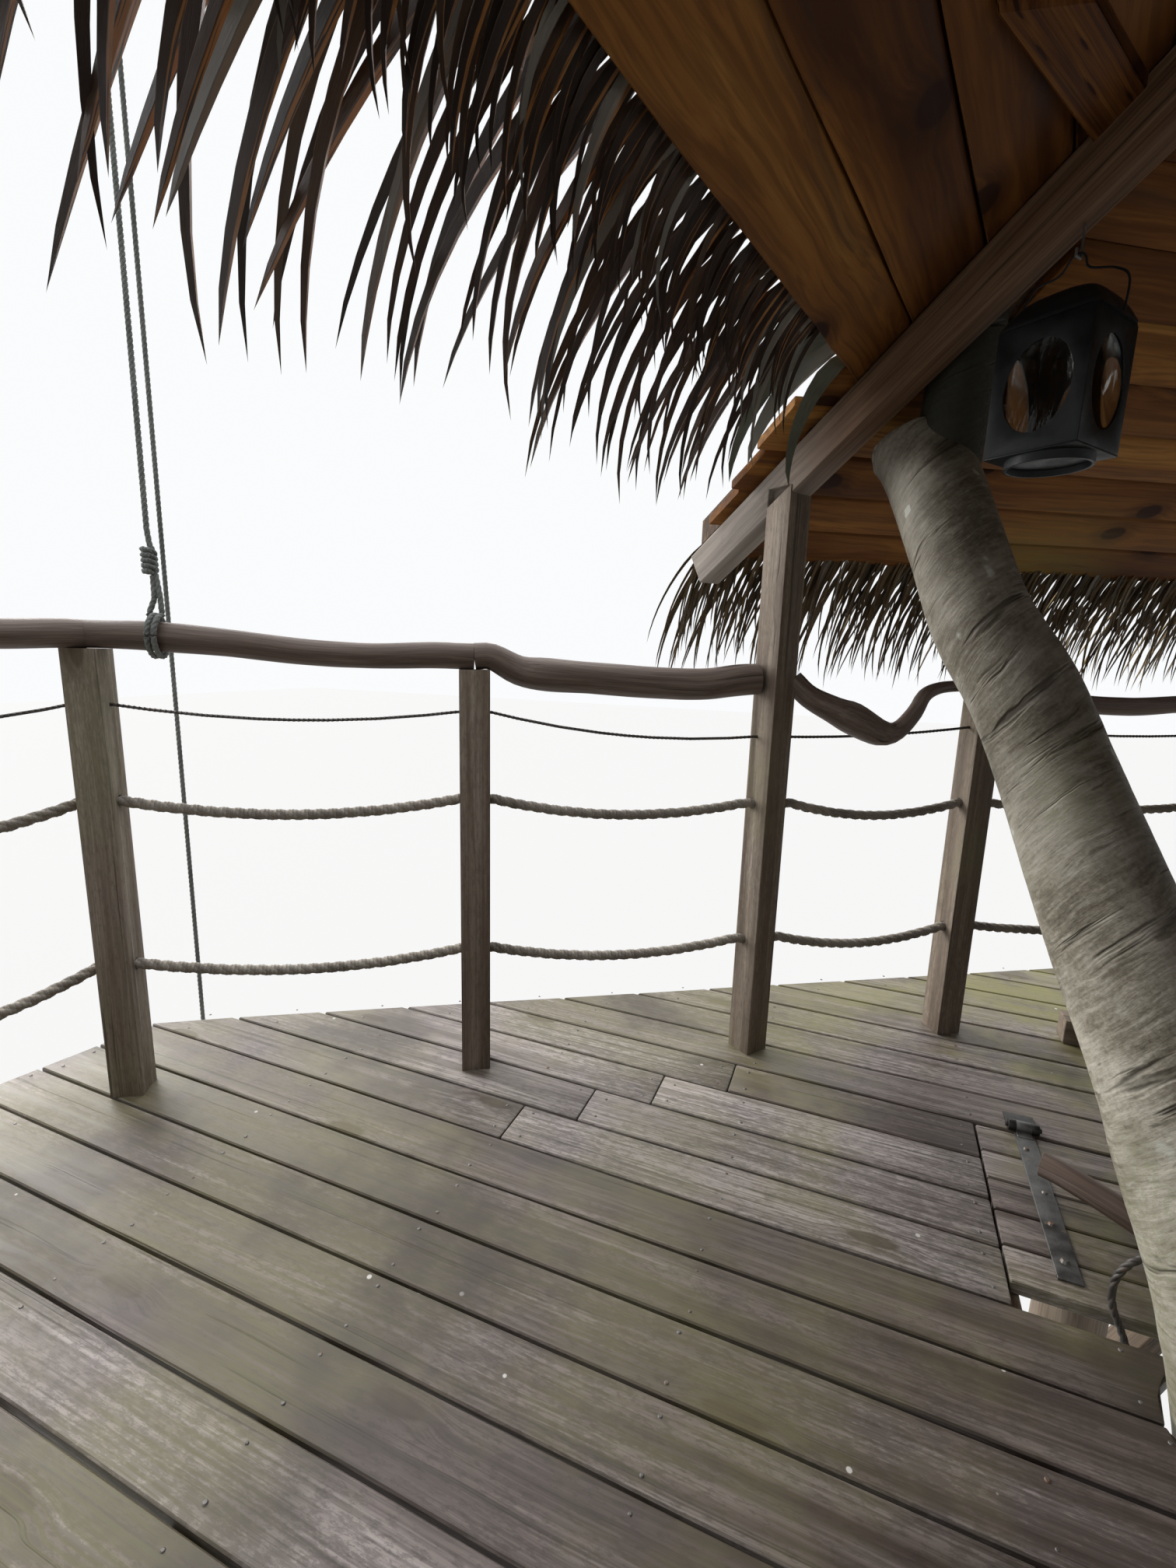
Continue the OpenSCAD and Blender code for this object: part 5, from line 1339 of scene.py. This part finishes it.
def buildDome():
    batch, verts, sides = Batch(), [], 48
    levels = [(1, 0), (1.0, 0.004), (0.99, 0.007), (0.95, 0.014), (0.89, 0.025), (0.8, 0.037),
              (0.67, 0.047), (0.5, 0.0545), (0.3, 0.0585), (0.12, 0.0597)]
    for share, rise in levels:
        for k in range(sides):
            angle = 2 * math.pi * k / sides
            power = 9 - 6.4 * rise / lantern["dome"]
            r = lantern["half"] * share / (abs(math.cos(angle)) ** power
                                           + abs(math.sin(angle)) ** power) ** (1 / power)
            verts.append(atLantern(r * math.cos(angle), r * math.sin(angle), lantern["top"] + rise))
    ends = [list(range(sides))[::-1], [(len(levels) - 1) * sides + k for k in range(sides)]]
    batch.add(verts, ringFaces(len(levels), sides) + ends, verts)
    return batch.build("lanternDome", lanternBlack)


soften("lantern_sides", lanternBlack, "lantern", "black_iron", 0.0006)
hand(buildDome(), "lantern", "black_iron", "lantern_top")
soften("lantern_base", lanternBlack, "lantern", "black_iron", 0.0012)
soften("lantern_glass", pane, "lantern", "lantern_pane", 0.0004)
half = lantern["half"]
foot, high = lantern["top"] + 0.003, lantern["pivot"] + 0.0048    # the bail's ears and its seat on the hook
bail = [(half + 0.0023, foot), (half + 0.0023, high - 0.07), (0.82 * half, high - 0.036),
        (0.7 * half, high - 0.03), (0.32 * half, high - 0.026), (0.14 * half, high - 0.006),
        (0.06 * half, high), (-0.06 * half, high), (-0.16 * half, high - 0.01),
        (-0.26 * half, high - 0.03), (-0.76 * half, high - 0.048), (-half - 0.0023, high - 0.072),
        (-half - 0.0023, foot)]
bailTube = tube([(*atLantern(x, 0, z), lantern["wire"]) for x, z in bail], 10, 0.006,
                up=atLantern(0, 1, 0) - atLantern(0, 0, 0), dome=0.3)
handTubes("lanternBail", lanternBlack, "lantern", "black_iron", [bailTube], "lantern_bail")
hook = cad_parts["lantern_hook"].data    # shown as it is packed
hook.materials.clear()
hook.materials.append(strapIron.material)
say("lantern")

# Hoist rope, the limb it hangs from, and the wire-rope loop beside the trunk
hoist = {"share": 0.17, "gap": 0.06, "size": 0.014, "start": (1.598, -1.752, 2.47), "rise": 0.63,
         "end": 0.6, "limb": 0.11, "shift": 0.148, "clear": 0.07, "bends": [
    (0, 0, 0, 1), (0.1, 0.15, 0.008, 0.96), (0.25, 0.31, 0.02, 0.9), (0.42, 0.43, 0.01, 0.8),
    (0.6, 0.52, -0.012, 0.68), (0.78, 0.59, -0.016, 0.55), (0.93, 0.622, -0.004, 0.42), (1, 0.63, 0, 0.4),
    (1.05, 0.636, 0, 0.38), (1.105, 0.648, 0.005, 0.31)]}
onRail = stationAt(1).lerp(stationAt(2), hoist["share"])
hoistAt = houseToWorld(onRail.x, onRail.y)
hoistOut = Vector((math.sin(houseTurn), -math.cos(houseTurn), 0))
hoistOver = houseToWorld(onRail.x + hoist["shift"], -deck["halfWidth"] - hoist["clear"])
limbStart = Vector((*hoist["start"][:2], deckTop + hoist["start"][2]))
toLine = hoistOver - limbStart
toLine.z = 0
limbWay = toLine.normalized()
limbSide = Vector((limbWay.y, -limbWay.x, 0))
limbPoints = [(*(limbStart + toLine * share + limbSide * side + Vector((0, 0, rise))),
               slim * hoist["limb"] * size / 2)
              for share, rise, side, size in hoist["bends"]]
hoistLimb = tube(limbPoints, 24, 0.03, shape=crooked(0.04, 0.3, 9), dome=0.4)
handTubes("hoistLimb", bark, "house", "bark", [hoistLimb], "hoist_limb")
thinRope = {"Radius": hoist["size"] / 2, "Lay": 0.045, "Step": 0.005, "Groove": 0.22, "Sides": 12}
hoistTree = ropeRecipe("hoistRope", hoistHemp, 3)
railZ = rail["postTop"] + postTrim[1] + rail["seatGap"] + rail["branch"] * branchDrop
loopR = 1.04 * rail["branch"] / 2 + 0.006 + hoist["size"] / 2
topZ = hoist["start"][2] + hoist["rise"]
alongRail = houseToWorld(-1, 0) - houseToWorld(0, 0)
lineTop = hoistOver - limbSide * hoist["gap"] / 2 + Vector((0, 0, topZ - 0.003))
lineFoot = hoistAt + Vector((0, 0, railZ + loopR))
lineWay = (lineTop - lineFoot).normalized()
acrossLine = lineWay.cross(alongRail).normalized()
knot = {"from": 0.165, "to": 0.1, "turns": 5, "radius": 0.0125, "steps": 80}
around = [lineTop.lerp(lineFoot + lineWay * knot["from"], n / 40) for n in range(40)]    # the fall
for n in range(knot["steps"]):     # the knot: turns round its own standing line
    angle = 2 * math.pi * knot["turns"] * n / knot["steps"]
    r = knot["radius"] * min(1, (n + 2) / 6, (knot["steps"] + 2 - n) / 6)
    down = knot["from"] + (knot["to"] - knot["from"]) * n / (knot["steps"] - 1)
    around.append(lineFoot + lineWay * down + alongRail * (r * math.cos(angle))
                  + acrossLine * (r * math.sin(angle)))
around.append(lineFoot + lineWay * 0.04 + alongRail * 0.004)
for n in range(41):                # two turns round the handrail
    angle = math.pi / 2 - 2 * math.pi * n / 20
    around.append(hoistAt + hoistOut * (loopR * math.cos(angle))
                  + Vector((0, 0, railZ + loopR * math.sin(angle)))
                  + alongRail * (0.03 * n / 40 - 0.012))
around += [lineFoot + lineWay * 0.045 + alongRail * 0.017,
           lineFoot + lineWay * knot["to"] + alongRail * 0.011]
hand(hoistTree.run(lineObject("hoistPath", around), "hoistLine", hoistHemp, thinRope), "house", "rope",
     "hoist_line")
overTop, bend = hoistOver + Vector((0, 0, topZ)), hoist["gap"] / 2
tail = [overTop - limbSide * (bend * math.cos(math.pi * n / 12))
        + Vector((0, 0, bend * math.sin(math.pi * n / 12)))
        for n in range(13)]            # half a turn over the limb
tailRun = topZ + deckTop - hoist["end"] - 0.03
tail += [tail[-1] - Vector((0, 0, tailRun * n / 24)) for n in range(1, 25)]
tailRope = hoistTree.run(lineObject("tailPath", tail), "hoistTail", hoistHemp, thinRope)
knotPath = [tail[-1] + Vector((0.014 * math.cos(0.5 * n), 0.014 * math.sin(0.5 * n), 0.045 - 0.0022 * n))
            for n in range(36)]
knotPath = [Vector((p.x, p.y, max(p.z, hoist["end"] + 0.008))) for p in knotPath]
tailKnot = hoistTree.run(lineObject("tailKnotPath", knotPath), "tailKnot", hoistHemp, thinRope)
hand(tailRope, "house", "rope", "hoist_tail")
hand(tailKnot, "house", "rope")
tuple(tail[0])

wireLoop = [(1.222, -0.798, -0.06), (1.240, -0.799, -0.01), (1.258, -0.800, 0.03), (1.266, -0.802, 0.065),
            (1.262, -0.805, 0.1), (1.246, -0.809, 0.13), (1.222, -0.816, 0.146)]
wirePoints = [Vector(p[:3]) + Vector((0, 0, deckTop))
              for p in curvePoints([(*p, 0) for p in wireLoop], 0.01)]
wireTree = ropeRecipe("wireRope", cableSteel, 3)
hand(wireTree.run(lineObject("wirePath", wirePoints), "wireRopeLoop", cableSteel, {
    "Radius": 0.007, "Lay": 0.05, "Step": 0.004, "Groove": 0.25, "Sides": 18}), "house", "steel_cable",
    "wire_rope_loop")
say("hoist")


# Stage: pale floor and sky, soft suns and a fill
surround = {"floor": (0.55, 0.545, 0.53), "glow": 0.92, "glowShare": 0.75, "size": 60,
            "skyLight": 0.24, "skySeen": 1.0}


def showsBackground(sheet):        # 1 for the rays of the camera, and of what metal and glass show
    rays = [sheet.add("ShaderNodeLightPath", {}, {}, kind)
            for kind in ("Is Camera Ray", "Is Glossy Ray", "Is Transmission Ray")]
    return (rays[0] + rays[1] + rays[2]).maths("MINIMUM", 1.0)


def paleFinish(name, colour):
    mat = Finish(name)
    mat.set(colour=(*colour, 1), rough=0.9, specular=0.1)
    glow = mat.add("ShaderNodeEmission", {}, {"Color": (1, 1, 1, 1), "Strength": surround["glow"]})
    both = mat.add("ShaderNodeMixShader", {}, {
        0: showsBackground(mat) * surround["glowShare"], 1: Wire(mat, mat.shader.outputs[0]), 2: glow})
    end = [n for n in mat.tree.nodes if n.type == "OUTPUT_MATERIAL"][0]
    mat.feed(end.inputs[0], both)
    return mat


floorMesh = bpy.data.meshes.new("floor")
floorMesh.from_pydata([(x * surround["size"], y * surround["size"], 0)
                       for x, y in ((-1, -1), (1, -1), (1, 1), (-1, 1))], [], [[0, 1, 2, 3]])
floorMesh.materials.append(paleFinish("floorPale", surround["floor"]).material)
floor = bpy.data.objects.new("floor", floorMesh)
bpy.context.collection.objects.link(floor)

world = bpy.data.worlds.new("sky")
bpy.context.scene.world = world
world.use_nodes = True
sky = Sheet(world.node_tree)
world.node_tree.nodes.clear()
shine = sky.add("ShaderNodeBackground", {},
                {"Color": (0.96, 0.97, 1.0, 1), "Strength": surround["skyLight"]})
white = sky.add("ShaderNodeBackground", {},
                {"Color": (0.96, 0.97, 0.98, 1), "Strength": surround["skySeen"]})
mixed = sky.add("ShaderNodeMixShader", {}, {0: showsBackground(sky), 1: shine, 2: white})
sky.feed(world.node_tree.nodes.new("ShaderNodeOutputWorld").inputs[0], mixed)

lights = {"sun": {"from": (7, -2.2, 3.4), "energy": 2.4, "angle": 36, "colour": (1, 0.97, 0.93)},
          "side": {"from": (7, -1.2, 0.9), "energy": 1.3, "angle": 24, "colour": (1, 0.98, 0.95)},
          "overhead": {"from": (2.5, -1.5, 8), "energy": 3.8, "angle": 100, "colour": (0.97, 0.98, 1)},
          "fill": {"from": (2.5, 5.5, 1.6), "energy": 0.16, "angle": 60, "colour": (0.98, 0.98, 1)}}
for name, light in lights.items():
    data = bpy.data.lights.new(name, "SUN")
    data.energy = light["energy"]
    data.angle = math.radians(light["angle"])
    data.color = light["colour"]
    lamp = bpy.data.objects.new(name, data)
    lamp.rotation_euler = Vector(light["from"]).to_track_quat("Z", "Y").to_euler()
    bpy.context.collection.objects.link(lamp)

bpy.context.scene.view_settings.view_transform = "Standard"
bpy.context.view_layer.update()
say("done")
